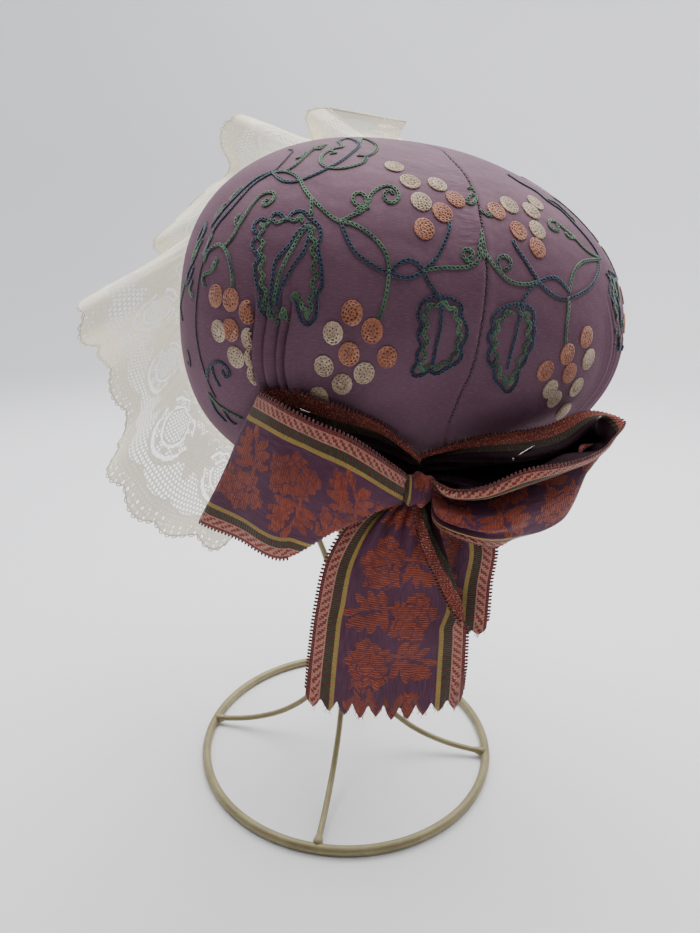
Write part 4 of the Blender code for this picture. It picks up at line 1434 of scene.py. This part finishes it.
def make_knot(material):
    """A tight wrap of ribbon with creases round it."""
    rows, columns = 48, 72
    grid, uv = [], []
    for row in range(rows + 1):
        across = -math.cos(math.pi * row / rows)
        profile = math.sqrt(max(1 - abs(across) ** 3.0, 0.0))
        line, places = [], []
        for column in range(columns + 1):
            angle = 2 * math.pi * (column % columns) / columns
            bend = noise.noise(Vector((across * 1.5, math.cos(angle), math.sin(angle))))
            crease = math.sin(8.0 * across + 1.6 * math.sin(angle + 0.5) + 2.0 * bend)
            swell = profile * (1.0 + 0.09 * crease + 0.14 * bend)
            line.append(KNOT_CENTRE + KNOT_HALF * np.array((
                across + 0.08 * math.sin(angle), swell * math.cos(angle),
                swell * math.sin(angle))))
            places.append((20.0 + 17.0 * across, 40.0 * column / columns))
        grid.append(line)
        uv.append(places)
    knot = cloth_piece("knot_wrap", np.array(grid), np.array(uv), material,
                       "bow_knot")
    join_doubles(knot, turn_out=True)


# Wire stand

RING_RADIUS = 87.0 * MM
RING_WIRE = 5.1 * MM
RING_STEPS = 160
LEG_WIRE = 3.4 * MM
FIRST_LEG = math.radians(-9.5)
CAGE_RADIUS = 66.0 * MM
CAGE_HEIGHT = 252.0 * MM
CAGE_SQUARENESS = 3.0
CROSSING_DROP = 1.4 * MM
# Each weld's ends: millimetres in from the ring, height
WELD_START = (7.0, 4.6)
WELD_END = (0.5, 3.4)
WELD_RADII = np.array((1.72, 1.95, 2.3, 2.6, 2.75, 2.6, 1.9)) * MM
WIRE_SHAPE = (
    # radius, height
    (87, 3.6),
    (66, 6.6),
    (48, 12.5),
    (35, 20),
    (24, 30),
    (15, 46),
    (10.5, 68),
    (9.5, 94),
    (13, 124),
    (30, 162),
    (50, 202),
    (62.5, 231),
    (66, 252),
)


def wire_path(turn, drop):
    half = [tuple(row) for row in smooth_rows(WIRE_SHAPE, 6) * MM]
    rise = stand_high.z - 0.5 * LEG_WIRE - drop - CAGE_HEIGHT
    power = 2.0 / CAGE_SQUARENESS
    for angle in np.linspace(0.0, 0.5 * math.pi, 33)[1:]:
        half.append((CAGE_RADIUS * max(math.cos(angle), 0.0) ** power,
                     CAGE_HEIGHT + rise * math.sin(angle) ** power))
    outward = np.array((math.cos(turn), math.sin(turn)))
    up = [(*(outward * radius), height) for radius, height in half]
    down = [(*(outward * -radius), height) for radius, height in half[:-1]]
    return np.array(up + down[::-1])


def make_stand(material):
    batch = Batch()
    angles = np.linspace(0.0, 2 * math.pi, RING_STEPS, endpoint=False)
    ring = np.stack([RING_RADIUS * np.cos(angles), RING_RADIUS * np.sin(angles),
                     np.full(RING_STEPS, 0.5 * RING_WIRE)], axis=1)
    batch.add(*tube_mesh(ring, 0.5 * RING_WIRE, 20, closed=True))
    for index in range(2):
        path = wire_path(FIRST_LEG + 0.5 * math.pi * index, CROSSING_DROP * index)
        batch.add(*tube_mesh(path, 0.5 * LEG_WIRE, 14))
    for index in range(4):
        turn = FIRST_LEG + 0.5 * math.pi * index
        outward = np.array((math.cos(turn), math.sin(turn), 0.0))
        start, end = (outward * (RING_RADIUS - inwards * MM) + np.array((0, 0, height * MM))
                      for inwards, height in (WELD_START, WELD_END))
        batch.add(*tube_mesh(np.linspace(start, end, len(WELD_RADII)), WELD_RADII, 14))
    stand = batch.build("stand_wires", material, "painted_wire")
    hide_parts("wire_stand")


PINS = (
    # start, end
    ((68.0, -87.5, 213.5), (78.0, -83.0, 218.5)),
    ((-20.0, -99.5, 236.2), (-16.0, -99.0, 235.0)),
)
PIN_RADIUS = 0.32 * MM
PIN_HEAD = np.array(((0, 0, 0), (0.4, 0, 0.1), (0.8, 0, 0.2))) * MM
PIN_HEAD_RADII = np.array((0.4, 0.75, 0.4)) * MM


def make_pins(material):
    """Two plain pins that hold the bow's folds."""
    batch = Batch()
    for start, end in PINS:
        path = np.linspace(start, end, 4) * MM
        batch.add(*tube_mesh(path, PIN_RADIUS, 8))
        batch.add(*tube_mesh(path[:1] + PIN_HEAD, PIN_HEAD_RADII, 8))
    batch.build("pins", material, "painted_wire")


# Room, light and camera

FLOOR_PROFILE = (
    # radius, height: a floor that curves up into a low wall all round
    (0.0, 0.0),
    (0.30, 0.0),
    (0.62, 0.0),
    (0.78, 0.012),
    (0.95, 0.06),
    (1.10, 0.17),
    (1.19, 0.35),
    (1.22, 0.60),
    (1.23, 0.95),
    (1.235, 1.7),
)


LIGHTS = (
    # name, place, size in metres, watts
    ("top", (0.15, 0.3, 1.3), 1.4, 36.0),
    ("left", (-0.8, 0.5, 1.1), 0.6, 2.5),
)
LIGHTS_AIM = Vector((0.0, 0.0, 0.2))
# The angles between which the wall stands on the camera's side
NEAR_WALL = (-0.92 * math.pi, -0.08 * math.pi)
SENSOR = 36.0


def backdrop(name, angles, profile, material):
    """Part of the floor and its wall, over a range of angles round the stand."""
    points = [(radius * math.cos(angle), radius * math.sin(angle), height)
              for radius, height in profile for angle in angles]
    sheet = new_object(name, points, grid_faces(len(profile), len(angles)), material)
    return sheet


def make_floor():
    look = Look("paper", 0.9)
    place = look.place()
    x, _, z = look.split(place)
    # Painted shade: the wall is painted darker than the floor, and darker towards the left (-x)
    # than towards the right
    wall = look.mix(x.steps(-0.7, 0.7), (0.56, 0.565, 0.59), (0.76, 0.76, 0.785))
    floor = look.mix(look.noise(place, 160.0, 4.0), (0.90, 0.90, 0.93), (0.93, 0.93, 0.955))
    look.finish(look.mix(z.steps(0.0, 0.1), floor, wall))
    profile = smooth_rows(FLOOR_PROFILE, 6)
    flat = sum(1 for _, height in profile if height <= 0.0005)
    backdrop("floor", np.linspace(-math.pi, math.pi, 97), profile[:flat + 1], look.material)
    backdrop("wall", np.linspace(NEAR_WALL[1], NEAR_WALL[0] + 2 * math.pi, 60), profile[flat:],
             look.material)
    # The wall on the camera's side is there for views from behind, and casts no light
    near = backdrop("near_wall", np.linspace(*NEAR_WALL, 44), profile[flat:], look.material)
    near.visible_diffuse = False
    near.visible_glossy = False
    near.visible_shadow = False


def make_lights():
    world = bpy.data.worlds.new("studio")
    bpy.context.scene.world = world
    world.use_nodes = True
    sky = world.node_tree.nodes["Background"].inputs
    sky["Color"].default_value = (0.93, 0.94, 0.97, 1.0)
    sky["Strength"].default_value = 0.22
    for name, place, size, power in LIGHTS:
        light = bpy.data.lights.new(name, "AREA")
        light.size = size
        light.energy = power
        lamp = bpy.data.objects.new(name, light)
        bpy.context.scene.collection.objects.link(lamp)
        lamp.location = STAND_MIDDLE + Vector(place)
        lamp.rotation_euler = (LIGHTS_AIM - Vector(place)).to_track_quat("-Z", "Y").to_euler()


def make_camera():
    data = bpy.data.cameras.new("camera")
    data.sensor_fit = "VERTICAL"
    data.sensor_height = SENSOR
    data.lens = SENSOR * FOCAL_PIXELS / PICTURE_SIZE[1]
    data.clip_start = 0.01
    camera = bpy.data.objects.new("camera", data)
    bpy.context.scene.collection.objects.link(camera)
    camera.matrix_world = (Matrix.Translation(STAND_MIDDLE + CAMERA_PLACE)
                           @ CAMERA_TURN.to_4x4())
    bpy.context.scene.camera = camera


def make_cap():
    silk = silk_look()
    threads = thread_look()
    cap = CapFace(*make_crown(silk, lining_look()))
    make_embroidery(cap, threads)
    make_seam_stitches(cap, threads)
    grid, tips = make_lace(lace_look())
    make_lace_edge(grid, tips, plain_look("lace_cord", 0.8, 900.0, srgb(238, 228, 202),
                                          srgb(248, 242, 224)))
    return threads


def make_bow(threads):
    reverse = ribbon_look("brocade_reverse", 3.0, reverse=True)
    left = ribbon_look("brocade_left", 8.0)
    right = ribbon_look("brocade_right", 2.0, -1.0)
    front = ribbon_look("brocade_front", 6.0, -1.0)
    back = ribbon_look("brocade_back", 12.0)
    grids = [
        make_ribbon("loop_left", "bow_loop_left", LEFT_LOOP, (left, reverse), tuck_left_loop,
                    front_folds=False),
        make_ribbon("loop_right", "bow_loop_right", RIGHT_LOOP, (right, reverse),
                    scrunch_right_loop),
        make_ribbon("tail_front", "bow_tail_front", FRONT_TAIL, (front, reverse),
                    fold_front_tail, teeth=TAIL_TEETH, tooth_depth=8.0 * MM, droop=TAIL_DROOP),
        make_ribbon("tail_back", "bow_tail_back", BACK_TAIL, (back, reverse), lay_flat,
                    teeth=TAIL_TEETH, tooth_depth=3.5 * MM),
    ]
    make_knot(right)
    make_picots(grids, threads)
    make_fray(grids[2:], threads)


make_floor()
make_lights()
make_camera()
make_bow(make_cap())
make_stand(stand_look())
make_pins(plain_look("pin_steel", 0.25, 700.0, srgb(205, 200, 190), srgb(170, 165, 155),
                     Metallic=1.0))
